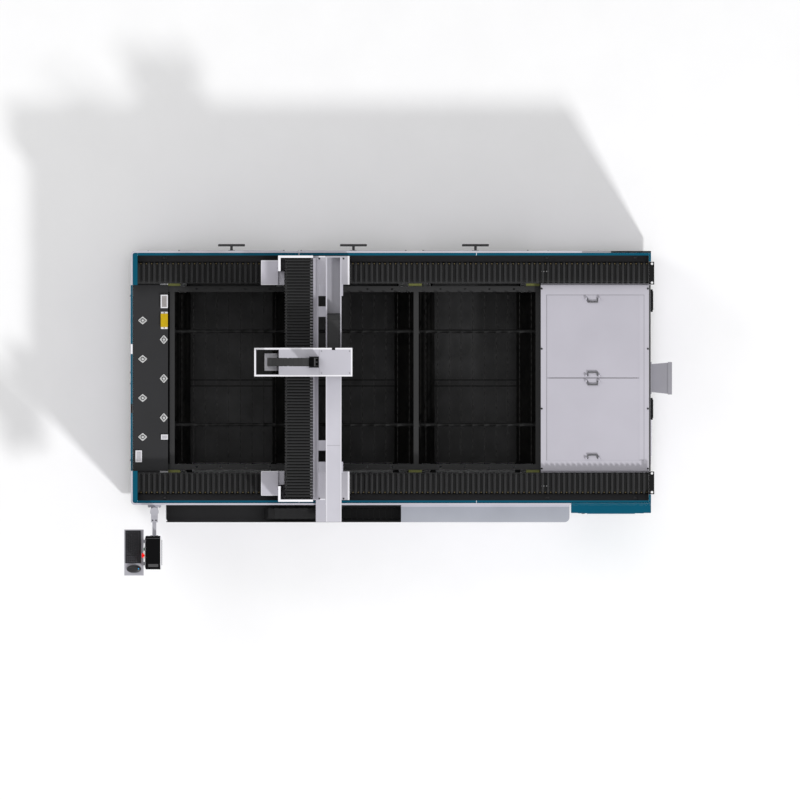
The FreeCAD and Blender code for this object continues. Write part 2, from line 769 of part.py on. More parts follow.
def trunk_platform():
    body = box(TRUNK_X0, TRUNK_X1, TRUNK_FRONT, TRUNK_SPLIT, TRUNK_BOTTOM, 1460)
    return body.cut(box(-640, -520, TRUNK_SPLIT - 5, TRUNK_SPLIT + 1, 1362, 1410))


def trunk_arms():
    made = []
    for y0, y1, x1 in ((1024, 1128, -496), (837, 930, TRUNK_X1), (-367, -275, TRUNK_X1),
                       (-566, -468, -496)):
        made.append(box(BEAM_X1 + LIP, x1, y0, y1, 1337, TRUNK_BOTTOM - LIP))
    return made


def x_chain_bracket():
    plate = box(-741, -652, TRAY_Y0 + 2, -812.3, 1053, 1063)
    drop = box(X_CHAIN_MOVING + LIP, -652, -985, -885, PLATFORM_TOP + 1, 1053)
    return fuse([plate, drop])


# ---- head carriage ----
def carriage():
    """An angle plate: its flat rides on the beam and its upright carries the Z axis."""
    flat = box(-1062, -785, HEAD_Y0 + 8, HEAD_Y1 - 8, 1385, 1403)
    leaf = box(-1062, -1034, 356, 500, 1112, 1604)
    bearing = box(-1095, -1062, HEAD_Y - 20, HEAD_Y + 20, 1120, 1160)
    plate = fuse([flat, leaf, bearing]).cut(upright(SCREW_X, HEAD_Y, 1110, 1170, 7.06))
    return plate.cut(upright(Y_PINION_X, HEAD_Y, 1380, 1410, 9))


def y_chain_lug():
    return box(-630, -530, 430, Y_CHAIN_MOVING, 1503.3, 1514.7)


def y_guide_blocks():
    made = []
    for y in (HEAD_Y0 + 20, HEAD_Y1 - 90):
        block = box(-970, -911, y, y + 70, 1346, 1385)
        made.append(block.cut(box(-952.4, -928.6, y - 1, y + 71, 1340, 1362.4)))
    for y in (356, 440):
        block = box(-1034, -997, y, y + 60, 1130, 1189)
        made.append(block.cut(box(-1012.4, -990, y - 1, y + 61, 1147.6, 1171.4)))
    return made


def y_motor():
    body = rounded_box(-880, -796, HEAD_Y - 42, HEAD_Y + 42, 1403, 1506, 6)
    return body.cut(upright(Y_PINION_X, HEAD_Y, 1400, 1430, 8.06))


def y_pinion():
    return pinion(Y_PINION_X, HEAD_Y, 1342, 1360, Y_TEETH, 0.0, 8, 1428)


def hood():
    """The light cover over the carriage, stepped to pass over the cable trunk."""
    outer = box(BAY_X, HEAD_X1, HEAD_Y0, HEAD_Y1, 1515, HEAD_TOP)
    outer = outer.fuse(box(BAY_X, -714, HEAD_Y0, HEAD_Y1, 1410, 1520))
    inner = box(BAY_X - 5, HEAD_X1 - 4, HEAD_Y0 + 4, HEAD_Y1 - 4, 1500, HEAD_TOP - 4)
    inner = inner.fuse(box(BAY_X - 5, -718, HEAD_Y0 + 4, HEAD_Y1 - 4, 1400, 1520))
    tray = box(-718, HEAD_X1, HEAD_Y0, HEAD_Y1, 1515, 1519)
    return fuse([outer.cut(inner), tray])


def head_box():
    """Three walls with a turned-in rim round the open bay where the Z slide moves."""
    def ring(x0, wall, z0, z1):
        outer = box(x0, BAY_X - LIP, HEAD_Y0, HEAD_Y1, z0, z1)
        return outer.cut(box(x0 + wall, BAY_X + 5, HEAD_Y0 + wall, HEAD_Y1 - wall, z0 - 1, z1 + 1))
    return fuse([ring(HEAD_X0, 5, 1320, HEAD_TOP), ring(HEAD_X0, 17, HEAD_TOP - 5, HEAD_TOP)])


def z_rails():
    return [box(-1077, -1062, y - 7.5, y + 7.5, 1130, 1590) for y in (HEAD_Y - 60, HEAD_Y + 60)]


def z_screw():
    return upright(SCREW_X, HEAD_Y, 1140, 1620, 7)


def z_motor():
    body = rounded_box(SCREW_X - 30, SCREW_X + 30, HEAD_Y - 30, HEAD_Y + 30, 1604.3, 1694, 5)
    return body.cut(upright(SCREW_X, HEAD_Y, 1600, 1622, 7.06))


def z_chain_bracket():
    foot = box(-801, -714, HEAD_Y - 50, HEAD_Y + 50, HEAD_TOP, HEAD_TOP + 4)
    tongue = box(-846, -801, HEAD_Y - 36, HEAD_Y + 36, HEAD_TOP, HEAD_TOP + 4)
    wall = box(-801, -714, HEAD_Y - 46, HEAD_Y + 46, HEAD_TOP + 4, HEAD_TOP + 60)
    room = box(-802, -722, HEAD_Y - 38, HEAD_Y + 38, HEAD_TOP + 12, HEAD_TOP + 61)
    return fuse([foot, tongue, wall.cut(room)])


# ---- z slide ----
def z_slide():
    """The moving block of the Z axis, with a nut for the screw on its right face."""
    block = box(SLIDE_X0, SLIDE_X1, HEAD_Y - 78, HEAD_Y + 78, 1330, SLIDE_TOP)
    nut = box(SLIDE_X1, -1065, HEAD_Y - 20, HEAD_Y + 20, 1400, 1440)
    return fuse([block, nut]).cut(upright(SCREW_X, HEAD_Y, 1395, 1445, 7.06))


def z_guide_blocks():
    made = []
    for y in (HEAD_Y - 60, HEAD_Y + 60):
        for z in (1350, 1520):
            block = box(SLIDE_X1, -1066, y - 16, y + 16, z, z + 50)
            made.append(block.cut(box(-1077.3, -1060, y - 7.8, y + 7.8, z - 1, z + 51)))
    return made


def cutting_head():
    """The optical body, stepped down to the focusing barrel."""
    body = rounded_box(NOZZLE_X - 44, NOZZLE_X + 44, HEAD_Y - 42, HEAD_Y + 42, 1190, 1330, 8)
    barrel = upright(NOZZLE_X, HEAD_Y, 1080, 1190, 30)
    collar = upright(NOZZLE_X, HEAD_Y, 1062, 1080, 36)
    return fuse([body, barrel, collar])


def nozzle():
    ceramic = upright(NOZZLE_X, HEAD_Y, 1040, 1061.7, 24)
    cone = Part.makeCone(9, 16, 24, V(NOZZLE_X, HEAD_Y, 1016))
    tip = Part.makeCone(3, 9, 16, V(NOZZLE_X, HEAD_Y, NOZZLE_TIP))
    bore = upright(NOZZLE_X, HEAD_Y, NOZZLE_TIP - 1, 1062, 1)
    return fuse([ceramic, cone, tip]).cut(bore)


# ---- console ----
def console_bracket():
    """A wall plate with a fixed post that the console swings on."""
    plate = box(-2253, -2133, -875, -857.2, 800, 1010)
    arm = box(-2224, -2163, PIVOT_Y, -874, 820, 900)
    post = upright(PIVOT_X, PIVOT_Y, 820, 1120, 24)
    seat = upright(PIVOT_X, PIVOT_Y, 820, 1000, 39)
    return fuse([plate, arm, post, seat])


def console_arm():
    """A hub on the post, a block, and a square tube to the screen enclosure."""
    hub = upright(PIVOT_X, PIVOT_Y, 1000.3, 1130, 39)
    block = box(-2224, -2163, -1014, PIVOT_Y, 1020, 1110)
    tube = box(-2212, -2177, -1129, -1013, 1045, 1085)
    plate = box(-2230, -2160, -1134.7, -1129, 1030, 1100)
    return fuse([hub, block, tube, plate]).cut(upright(PIVOT_X, PIVOT_Y, 990, 1121, 24.06))


def console_enclosure():
    return rounded_box(-2274, -2129, -1437, -1135, 1020, 1500, 8)


def console_screen():
    return box(-2279, -2274.3, -1419, -1153, 1240, 1470)


def button_panel():
    panel = box(-2282, -2274.3, -1350, -1221, 1110, 1200)
    panel = panel.cut(along_x(-2283, -2277, -1311, 1155, 9.06))
    return panel.cut(along_x(-2283, -2277, -1255, 1155, 12.06))


def shelf():
    """The keyboard shelf, with a turned-down edge and two arms under the enclosure."""
    tray = box(-2464.6, -2290.5, -1491.6, -1078, 1040, 1044)
    edge = box(-2464.6, -2461, -1491.6, -1078, 1020, 1044)
    arms = [box(-2440, -2274.3, y, y + 30, 1020, 1040) for y in (-1400, -1200)]
    return fuse([tray, edge] + arms)


def keyboard():
    return rounded_box(-2455, -2315, -1383, -1087, 1044, 1064, 6)


def mouse():
    body = rounded_box(-2442, -2313, -1465, -1401, 1044, 1072, 22)
    return body


def estop():
    head = along_x(-2308, -2288, -1311, 1155, 22)
    stem = along_x(-2288, -2282.3, -1311, 1155, 9)
    return fuse([head, stem])


def start_button():
    return along_x(-2290, -2282.3, -1255, 1155, 12)


def main():
    """Writes one file for each piece, or for each group of alike pieces."""
    sides = (1, -1)
    save("base_frame", base_frame() + drawer_runners())
    save("leveling_feet", leveling_feet())
    save("rail_beams", [rail_beam(s) for s in sides])
    save("rail_gutters", rail_gutters())
    save("x_ways", x_rails() + x_racks())
    save("side_panels", side_panel(1) + side_panel(-1) + low_rear_sheets())
    save("end_panels", [end_panel_left(), end_panel_right()])
    save("teal_parts", teal_caps() + end_caps() + [service_box()])
    save("table_frame", table_side_beams() + table_cross_beams())
    save("slats", slats())
    save("slat_rods", slat_rods())
    save("lugs", lugs())
    save("chute_sides", chute_sides())
    for k in range(BAYS):
        save("drawer_%d" % (k + 1), drawer(k) + drawer_handle(k))
    save("loading_plate", loading_plate())
    save("ball_transfers", ball_flanges() + transfer_balls())
    save("stop_blocks", stop_blocks())
    save("rear_deck", rear_deck())
    save("lids", [lid(s) for s in sides] + lid_handle_posts())
    for n, (d, way) in enumerate(bail_places()):
        save("bail_%d" % (n + 1), bail(d, way))
    save("power_units", [laser_source(), drive_cabinet()])
    save("duct", duct())
    save("end_fittings", vent_boxes() + bellows_end_brackets())
    save("x_tray", x_tray())
    save("x_platform", [x_platform()] + tray_brackets())
    save("way_bellows_left", way_bellows(-2345, SADDLE_LEFT - LIP))
    save("way_bellows_right", way_bellows(SADDLE_RIGHT + LIP, 2256))
    save("beam_bellows_rear", beam_bellows(HEAD_Y1 + LIP, GANTRY_REAR + 1.7))
    save("beam_bellows_front", beam_bellows(GANTRY_FRONT - 1.7, HEAD_Y0 - LIP))
    save("x_chain", x_chain())
    save("y_chain", y_chain())
    save("z_chain", z_chain())
    save("saddles", [saddle(s) for s in sides] + x_guide_blocks())
    save("x_motors", [x_motor(s) for s in sides])
    save("x_pinion_rear", x_pinion(1))
    save("x_pinion_front", x_pinion(-1))
    save("motor_covers", [motor_cover(s) for s in sides])
    save("beam", [beam()] + beam_strips())
    save("end_boxes", [end_box(s) for s in sides])
    save("y_ways", y_rails() + [y_rack()])
    save("cable_trunk", [trunk_trough(), trunk_platform(), x_chain_bracket()] + trunk_arms())
    save("carriage", [carriage(), y_chain_lug()] + y_guide_blocks() + z_rails())
    save("head_drives", [y_motor(), z_motor(), z_chain_bracket()])
    save("y_pinion", y_pinion())
    save("hood", [hood(), head_box()])
    save("z_screw", z_screw())
    save("z_slide", [z_slide()] + z_guide_blocks())
    save("cutting_head", [cutting_head(), nozzle()])
    save("console_bracket", console_bracket())
    save("console_arm", [console_arm(), shelf()])
    save("console_enclosure", [console_enclosure(), console_screen(), button_panel()])
    save("keyboard", keyboard())
    save("mouse", mouse())
    save("estop", estop())
    save("start_button", start_button())


main()
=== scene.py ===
import math

import bpy
import numpy as np
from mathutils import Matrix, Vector


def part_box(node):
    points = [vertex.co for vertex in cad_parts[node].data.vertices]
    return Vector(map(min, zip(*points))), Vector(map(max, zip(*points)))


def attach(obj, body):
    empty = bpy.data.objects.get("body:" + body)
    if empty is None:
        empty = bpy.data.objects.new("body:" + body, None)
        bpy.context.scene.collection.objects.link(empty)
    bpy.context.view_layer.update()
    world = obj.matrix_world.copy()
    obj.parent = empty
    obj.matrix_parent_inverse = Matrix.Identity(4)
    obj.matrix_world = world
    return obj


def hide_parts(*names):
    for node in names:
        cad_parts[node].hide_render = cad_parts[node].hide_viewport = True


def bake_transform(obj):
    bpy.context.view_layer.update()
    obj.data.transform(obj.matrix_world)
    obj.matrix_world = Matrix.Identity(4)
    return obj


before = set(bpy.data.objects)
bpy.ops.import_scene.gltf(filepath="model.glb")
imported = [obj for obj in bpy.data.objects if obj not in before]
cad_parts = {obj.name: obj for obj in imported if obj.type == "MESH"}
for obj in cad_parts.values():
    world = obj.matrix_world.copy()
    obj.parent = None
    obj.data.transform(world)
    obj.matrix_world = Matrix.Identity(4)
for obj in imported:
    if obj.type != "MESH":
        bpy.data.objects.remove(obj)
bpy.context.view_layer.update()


# ---- mesh making
def place_of(node):
    """Lowest and highest corner of a CAD node as two arrays."""
    low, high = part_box(node)
    return np.array(low, float), np.array(high, float)


def put(name, verts, faces, body, finish, slot, smooth=False, crease_deg=None):
    """Puts arrays of points and faces into a mesh that rides on a body."""
    mesh = bpy.data.meshes.new(name)
    mesh.from_pydata(np.asarray(verts, float).reshape(-1, 3).tolist(), [], faces)
    mesh.materials.append(finish)
    mesh.update()
    if smooth:
        mesh.polygons.foreach_set("use_smooth", np.ones(len(mesh.polygons), bool))
        if crease_deg:
            mesh.set_sharp_from_angle(angle=math.radians(crease_deg))
    obj = bpy.data.objects.new(name, mesh)
    bpy.context.scene.collection.objects.link(obj)
    if body:
        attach(obj, body)
    return obj


def grid_faces(rows, cols, wrap):
    """Quads over a grid of points: row i, column j; wrap joins the last column to the first."""
    i = np.arange(rows - 1)[:, None]
    j = np.arange(cols if wrap else cols - 1)[None, :]
    k = (j + 1) % cols
    quads = np.stack([i * cols + j, i * cols + k, (i + 1) * cols + k, (i + 1) * cols + j], axis=-1)
    return quads.reshape(-1, 4)


def rings(stack):
    """Points and faces of closed outlines joined in order, with a cap at each end.

    stack has the shape (ring, point, 3), and every ring runs anticlockwise seen from its start."""
    m, n, _ = stack.shape
    faces = grid_faces(m, n, True).tolist()
    faces.append(list(range(n))[::-1])
    faces.append([(m - 1) * n + j for j in range(n)])
    return stack.reshape(-1, 3), faces


def join(parts):
    """Several (points, faces) pairs as one."""
    verts, faces, base = [], [], 0
    for v, f in parts:
        v = np.asarray(v, float).reshape(-1, 3)
        verts.append(v)
        faces.extend([[k + base for k in face] for face in f])
        base += len(v)
    return np.concatenate(verts), faces


BOX_CORNERS = np.array([[0, 0, 0], [1, 0, 0], [1, 1, 0], [0, 1, 0],
                        [0, 0, 1], [1, 0, 1], [1, 1, 1], [0, 1, 1]], float)
BOX_FACES = np.array([[0, 3, 2, 1], [4, 5, 6, 7], [0, 1, 5, 4], [1, 2, 6, 5], [2, 3, 7, 6], [3, 0, 4, 7]])


def boxes(lows, highs):
    """Many upright boxes at once: corner k is low + unit corner * (high - low)."""
    lows = np.asarray(lows, float).reshape(-1, 3)
    highs = np.asarray(highs, float).reshape(-1, 3)
    verts = lows[:, None] + BOX_CORNERS[None] * (highs - lows)[:, None]
    faces = BOX_FACES[None] + 8 * np.arange(len(lows))[:, None, None]
    return verts.reshape(-1, 3), faces.reshape(-1, 4).tolist()


def tapered(lows, highs, inset, axis=2):
    """Boxes whose far face along an axis is smaller by inset on each side, like a key cap or a screw boss."""
    verts, faces = boxes(lows, highs)
    verts = verts.reshape(-1, 8, 3)
    far = BOX_CORNERS[:, axis] == 1
    toward = np.where(BOX_CORNERS == 1, -1.0, 1.0) * inset
    toward[:, axis] = 0
    verts[:, far] += toward[far]
    return verts.reshape(-1, 3), faces


AXES = {"x": (1, 2, 0), "y": (2, 0, 1), "z": (0, 1, 2)}


def turned(profile, places, axis="z", segments=24):
    """A (radius, height) outline turned round an axis, copied to each place.

    An open outline gets a cap at each end. One that ends where it began makes a hoop."""
    profile = np.asarray(profile, float)
    places = np.asarray(places, float).reshape(-1, 3)
    turn = np.linspace(0, 2 * np.pi, segments, endpoint=False)
    ring = np.zeros((len(profile), segments, 3))
    u, v, w = AXES[axis]
    ring[..., u] = profile[:, :1] * np.cos(turn)
    ring[..., v] = profile[:, :1] * np.sin(turn)
    ring[..., w] = profile[:, 1:]
    one, faces = rings(ring)
    inward = profile[-1, 1] < profile[0, 1]
    if np.allclose(profile[0], profile[-1]):
        one = ring[:-1].reshape(-1, 3)
        faces = (grid_faces(len(profile), segments, True) % len(one)).tolist()
        radius, height = profile.T
        inward = np.sum(radius[:-1] * height[1:] - radius[1:] * height[:-1]) < 0
    if inward:
        faces = [f[::-1] for f in faces]
    verts = places[:, None] + one[None]
    every = []
    for k in range(len(places)):
        every.extend([[i + k * len(one) for i in f] for f in faces])
    return verts.reshape(-1, 3), every


def bevel(obj, width, segments=2, angle_deg=40):
    """Rounds the edges of a finished piece."""
    mod = obj.modifiers.new("edge", "BEVEL")
    mod.width = width
    mod.segments = segments
    mod.limit_method = "ANGLE"
    mod.angle_limit = math.radians(angle_deg)
    return obj


# ---- materials
def start_material(name):
    mat = bpy.data.materials.new(name)
    mat.use_nodes = True
    tree = mat.node_tree
    shader = tree.nodes["Principled BSDF"]
    coords = tree.nodes.new("ShaderNodeTexCoord")
    return mat, tree, shader, coords.outputs["Object"]


def noise(tree, coords, scale, detail=3.0, stretch=None):
    """A noise pattern, drawn out along an axis when stretch is given."""
    tex = tree.nodes.new("ShaderNodeTexNoise")
    tex.inputs["Scale"].default_value = scale
    tex.inputs["Detail"].default_value = detail
    if stretch:
        mapping = tree.nodes.new("ShaderNodeMapping")
        mapping.inputs["Scale"].default_value = stretch
        tree.links.new(coords, mapping.inputs["Vector"])
        coords = mapping.outputs["Vector"]
    tree.links.new(coords, tex.inputs["Vector"])
    return tex.outputs["Fac"]


def blend_colours(tree, factor, low, high, at=(0.3, 0.7)):
    ramp = tree.nodes.new("ShaderNodeValToRGB")
    ramp.color_ramp.elements[0].position = at[0]
    ramp.color_ramp.elements[1].position = at[1]
    ramp.color_ramp.elements[0].color = (*low, 1)
    ramp.color_ramp.elements[1].color = (*high, 1)
    tree.links.new(factor, ramp.inputs["Fac"])
    return ramp.outputs["Color"]


def roughen(tree, factor, low, high, shader):
    """Gloss patches: the factor carried to a roughness between low and high."""
    node = tree.nodes.new("ShaderNodeMapRange")
    node.inputs["From Min"].default_value = 0.3
    node.inputs["From Max"].default_value = 0.7
    node.inputs["To Min"].default_value = low
    node.inputs["To Max"].default_value = high
    tree.links.new(factor, node.inputs["Value"])
    tree.links.new(node.outputs["Result"], shader.inputs["Roughness"])


def bump(tree, height, shader, distance, strength=0.4):
    node = tree.nodes.new("ShaderNodeBump")
    node.inputs["Strength"].default_value = strength
    node.inputs["Distance"].default_value = distance
    tree.links.new(height, node.inputs["Height"])
    tree.links.new(node.outputs["Normal"], shader.inputs["Normal"])


def shade(colour, by):
    return tuple(max(0.0, min(1.0, c * by)) for c in colour)


def tint(tree, factor, colour, vary, shader):
    """The colour, a little darker and a little lighter as the factor goes."""
    tree.links.new(blend_colours(tree, factor, shade(colour, 1 - vary), shade(colour, 1 + vary)),
                   shader.inputs["Base Color"])


def powder_coat(name, colour, rough=0.42, vary=0.06, grain=900.0, depth=0.0004, coat=0.0, gloss=0.3):
    """Sprayed paint: fine orange-peel bump, faint clouding of the colour, and rubbed patches in the gloss."""
    mat, tree, shader, coords = start_material(name)
    cloud = noise(tree, coords, 2.3, 4.0)
    tint(tree, cloud, colour, vary, shader)
    rubbed = noise(tree, coords, 9.0, 5.0)
    roughen(tree, rubbed, rough - 0.03, rough + 0.04, shader)
    bump(tree, noise(tree, coords, grain, 2.0), shader, depth, 0.25)
    shader.inputs["Specular IOR Level"].default_value = gloss
    if coat:
        shader.inputs["Coat Weight"].default_value = coat
        shader.inputs["Coat Roughness"].default_value = 0.2
    return mat


def brushed_metal(name, colour, rough=0.32, along=(1, 60, 60), vary=0.12, metallic=1.0):
    """Ground metal: long fine scratches along one axis in both the gloss and the bump."""
    mat, tree, shader, coords = start_material(name)
    lines = noise(tree, coords, 14.0, 6.0, along)
    tint(tree, lines, colour, vary, shader)
    roughen(tree, lines, rough - 0.08, rough + 0.12, shader)
    bump(tree, lines, shader, 0.0002, 0.2)
    shader.inputs["Metallic"].default_value = metallic
    return mat


def burnt_steel(name, clean, burnt, scale=14.0, rough=0.6):
    """Plate that has been cut over: blued and soot-dark blotches with spatter grain."""
    mat, tree, shader, coords = start_material(name)
    blotch = noise(tree, coords, scale, 7.0)
    tree.links.new(blend_colours(tree, blotch, burnt, clean, (0.35, 0.7)), shader.inputs["Base Color"])
    roughen(tree, blotch, rough + 0.15, rough - 0.1, shader)
    bump(tree, noise(tree, coords, 240.0, 5.0), shader, 0.0012, 0.5)
    shader.inputs["Specular IOR Level"].default_value = 0.25
    return mat


def moulded(name, colour, rough=0.5, grain=1400.0, vary=0.08, depth=0.0002, gloss=0.35):
    """Moulded plastic: fine spark-eroded grain and slight gloss changes."""
    mat, tree, shader, coords = start_material(name)
    haze = noise(tree, coords, 6.0, 3.0)
    tint(tree, haze, colour, vary, shader)
    roughen(tree, haze, rough - 0.05, rough + 0.07, shader)
    bump(tree, noise(tree, coords, grain, 2.0), shader, depth, 0.3)
    shader.inputs["Specular IOR Level"].default_value = gloss
    return mat


def coated_cloth(name, colour, valley, rough=0.7, pitch=520.0):
    """Bellows cloth: a fine crossed weave under a matt coating, dusty on the ridges, with painted shade in the
    folds.

    The attribute sunk is 0 on a ridge and 1 at the bottom of a fold."""
    mat, tree, shader, coords = start_material(name)
    dust = noise(tree, coords, 5.0, 6.0)
    ridge = blend_colours(tree, dust, colour, shade(colour, 1.4), (0.4, 0.8))
    sunk = tree.nodes.new("ShaderNodeAttribute")
    sunk.attribute_name = "sunk"
    # painted shade: the colour goes from the ridge colour to the fold colour as a point lies deeper in a fold
    mix = tree.nodes.new("ShaderNodeMix")
    mix.data_type = "RGBA"
    tree.links.new(sunk.outputs["Fac"], mix.inputs["Factor"])
    tree.links.new(ridge, mix.inputs["A"])
    mix.inputs["B"].default_value = (*valley, 1)
    tree.links.new(mix.outputs["Result"], shader.inputs["Base Color"])
    shader.inputs["Specular IOR Level"].default_value = 0.2
    roughen(tree, dust, rough - 0.08, rough + 0.1, shader)
    waves = []
    for way in ("X", "Y"):
        wave = tree.nodes.new("ShaderNodeTexWave")
        wave.bands_direction = way
        wave.inputs["Scale"].default_value = pitch
        wave.inputs["Distortion"].default_value = 0.6
        tree.links.new(coords, wave.inputs["Vector"])
        waves.append(wave.outputs["Fac"])
    weave = tree.nodes.new("ShaderNodeMath")
    weave.operation = "MAXIMUM"
    tree.links.new(waves[0], weave.inputs[0])
    tree.links.new(waves[1], weave.inputs[1])
    bump(tree, weave.outputs[0], shader, 0.0003, 0.35)
    shader.inputs["Sheen Weight"].default_value = 0.15
    return mat


def banded(name, colours, axis, edges, rough=0.45):
    """Paint whose colour changes at stated places along one axis of the object."""
    mat, tree, shader, coords = start_material(name)
    split = tree.nodes.new("ShaderNodeSeparateXYZ")
    tree.links.new(coords, split.inputs[0])
    value = split.outputs["XYZ".index(axis)]
    shade_in = None
    for k, colour in enumerate(colours):
        speck = blend_colours(tree, noise(tree, coords, 30.0, 4.0), shade(colour, 0.93), shade(colour, 1.07))
        if shade_in is None:
            shade_in = speck
            continue
        over = tree.nodes.new("ShaderNodeMath")
        over.operation = "GREATER_THAN"
        over.inputs[1].default_value = edges[k - 1]
        tree.links.new(value, over.inputs[0])
        mix = tree.nodes.new("ShaderNodeMix")
        mix.data_type = "RGBA"
        tree.links.new(over.outputs[0], mix.inputs["Factor"])
        tree.links.new(shade_in, mix.inputs["A"])
        tree.links.new(speck, mix.inputs["B"])
        shade_in = mix.outputs["Result"]
    tree.links.new(shade_in, shader.inputs["Base Color"])
    roughen(tree, noise(tree, coords, 12.0), rough - 0.05, rough + 0.08, shader)
    bump(tree, noise(tree, coords, 800.0, 2.0), shader, 0.0003, 0.25)
    shader.inputs["Specular IOR Level"].default_value = 0.25
    return mat


def glow(finish, colour, strength):
    """Lets a coloured part shine a little: the mouse's lamp, and painted light on the stop button to lift it out
    of shade.
    """
    shader = finish.node_tree.nodes["Principled BSDF"]
    shader.inputs["Emission Color"].default_value = (*colour, 1.0)
    shader.inputs["Emission Strength"].default_value = strength


LIGHT = (0.53, 0.515, 0.575)
TEAL = (0.0, 0.084, 0.142)
BLACK = (0.006, 0.006, 0.0065)

light_paint = powder_coat("light_paint", LIGHT)
panel_paint = powder_coat("panel_paint", LIGHT, vary=0.05)
rim_paint = powder_coat("rim_paint", (0.8, 0.79, 0.83), rough=0.38)
edge_paint = powder_coat("edge_paint", (0.88, 0.87, 0.91), rough=0.4, vary=0.03)
deck_paint = powder_coat("deck_paint", (0.5, 0.485, 0.54), vary=0.03)
lid_paint = powder_coat("lid_paint", (0.48, 0.465, 0.52), vary=0.03)
trim_paint = powder_coat("trim_paint", (0.68, 0.67, 0.72), vary=0.04)
seam_paint = powder_coat("seam_paint", (0.28, 0.275, 0.3), vary=0.05)
teal_paint = powder_coat("teal_paint", TEAL, rough=0.36, vary=0.04, gloss=0.12)
dark_paint = powder_coat("dark_paint", (0.018, 0.018, 0.02), rough=0.5)
black_paint = powder_coat("black_paint", BLACK, rough=0.45, gloss=0.15)
tray_paint = powder_coat("tray_paint", (0.068, 0.068, 0.071), rough=0.5, gloss=0.2)
gutter_paint = powder_coat("gutter_paint", (0.05, 0.049, 0.053), rough=0.55, gloss=0.2)
mark_paint = powder_coat("mark_paint", (0.075, 0.074, 0.077), rough=0.5)
table_paint = powder_coat("table_paint", (0.037, 0.037, 0.038), rough=0.55, gloss=0.2)
plate_paint = powder_coat("plate_paint", (0.028, 0.028, 0.03), rough=0.6, gloss=0.2)
olive_paint = powder_coat("olive_paint", (0.17, 0.18, 0.05), rough=0.55)
chute_steel = burnt_steel("chute_steel", (0.02, 0.019, 0.018), (0.006, 0.006, 0.006), 6.0)
drawer_steel = burnt_steel("drawer_steel", (0.064, 0.064, 0.066), (0.054, 0.054, 0.055), 5.0)
slat_steel = burnt_steel("slat_steel", (0.016, 0.0155, 0.015), (0.008, 0.0075, 0.007), 22.0)
rod_steel = burnt_steel("rod_steel", (0.028, 0.028, 0.029), (0.016, 0.016, 0.016), 30.0, 0.5)
rail_steel = brushed_metal("rail_steel", (0.42, 0.42, 0.43), 0.3)
bail_steel = brushed_metal("bail_steel", (0.2, 0.2, 0.21), 0.34)
flange_steel = brushed_metal("flange_steel", (0.62, 0.62, 0.62), 0.35, (20, 20, 20), 0.05, 0.2)
pinion_steel = brushed_metal("pinion_steel", (0.35, 0.35, 0.36), 0.35, (40, 40, 1))
screw_steel = brushed_metal("screw_steel", (0.16, 0.16, 0.165), 0.35, (30, 30, 30))
black_screw = brushed_metal("black_screw", (0.02, 0.02, 0.021), 0.4, (30, 30, 30), 0.1, 0.4)
brass = brushed_metal("brass", (0.14, 0.105, 0.045), 0.5, (30, 30, 30), 0.12, 0.2)
copper = brushed_metal("copper", (0.62, 0.26, 0.14), 0.3, (30, 30, 4))
stop_paint = banded("stop_paint", [(0.5, 0.49, 0.52), (0.54, 0.36, 0.0), (0.33, 0.31, 0.31)],
                    "Y", (0.3, 0.89))
duct_paint = powder_coat("duct_paint", (0.3, 0.295, 0.325), rough=0.4)
platform_paint = powder_coat("platform_paint", (0.355, 0.37, 0.415), rough=0.45)
enclosure_paint = powder_coat("enclosure_paint", (0.0035, 0.0035, 0.004), rough=0.5, gloss=0.06)
cast_paint = powder_coat("cast_paint", (0.46, 0.45, 0.49), grain=260.0, depth=0.0012)
# painted light: the Z slide is painted lighter than its real paint, to make up for the shade of the open bay
slide_lightened_paint = powder_coat("slide_lightened_paint", (0.8, 0.79, 0.83), grain=260.0, depth=0.0008)
trunk_paint = powder_coat("trunk_paint", (0.545, 0.535, 0.59), rough=0.4)
trough_shade_paint = powder_coat("trough_shade_paint", (0.4, 0.395, 0.43), rough=0.45)
hood_paint = powder_coat("hood_paint", (0.53, 0.52, 0.575), rough=0.34, coat=0.1)
motor_paint = powder_coat("motor_paint", (0.01, 0.01, 0.011), rough=0.4, gloss=0.2)
bracket_paint = powder_coat("bracket_paint", (0.008, 0.008, 0.009), rough=0.45, gloss=0.15)
console_paint = powder_coat("console_paint", (0.45, 0.445, 0.49), rough=0.4)
shelf_paint = powder_coat("shelf_paint", (0.46, 0.455, 0.48), rough=0.4)
cabinet_paint = powder_coat("cabinet_paint", (0.1, 0.1, 0.11), rough=0.5)
# the second colour of each cloth is the painted shade at the bottom of its folds
way_cloth = coated_cloth("way_cloth", (0.018, 0.018, 0.019), (0.006, 0.006, 0.0063))
beam_cloth = coated_cloth("beam_cloth", (0.0175, 0.0175, 0.0185), (0.003, 0.003, 0.0032))
chain_plastic = moulded("chain_plastic", (0.035, 0.035, 0.036), 0.5, gloss=0.2)
dark_chain = moulded("dark_chain", (0.016, 0.016, 0.0165), 0.55, gloss=0.15)
key_plastic = moulded("key_plastic", (0.046, 0.045, 0.051), 0.5)
case_plastic = moulded("case_plastic", (0.018, 0.018, 0.022), 0.45)
mouse_plastic = moulded("mouse_plastic", (0.03, 0.03, 0.032), 0.4)
clip_plastic = moulded("clip_plastic", (0.22, 0.22, 0.225), 0.4)
red_plastic = moulded("red_plastic", (0.85, 0.002, 0.002), 0.35)
# painted light: the glow lifts the stop button out of the enclosure's shade
glow(red_plastic, (1.0, 0.0, 0.0), 0.55)
yellow_plastic = moulded("yellow_plastic", (0.75, 0.5, 0.01), 0.4)
green_plastic = moulded("green_plastic", (0.01, 0.32, 0.06), 0.3)
blue_plastic = moulded("blue_plastic", (0.02, 0.35, 0.75), 0.3)
glow(blue_plastic, (0.03, 0.45, 0.9), 0.4)
ceramic = moulded("ceramic", (0.75, 0.72, 0.66), 0.25, vary=0.04)
glass_black = moulded("glass_black", (0.004, 0.005, 0.007), 0.08, vary=0.2, depth=0.00002)

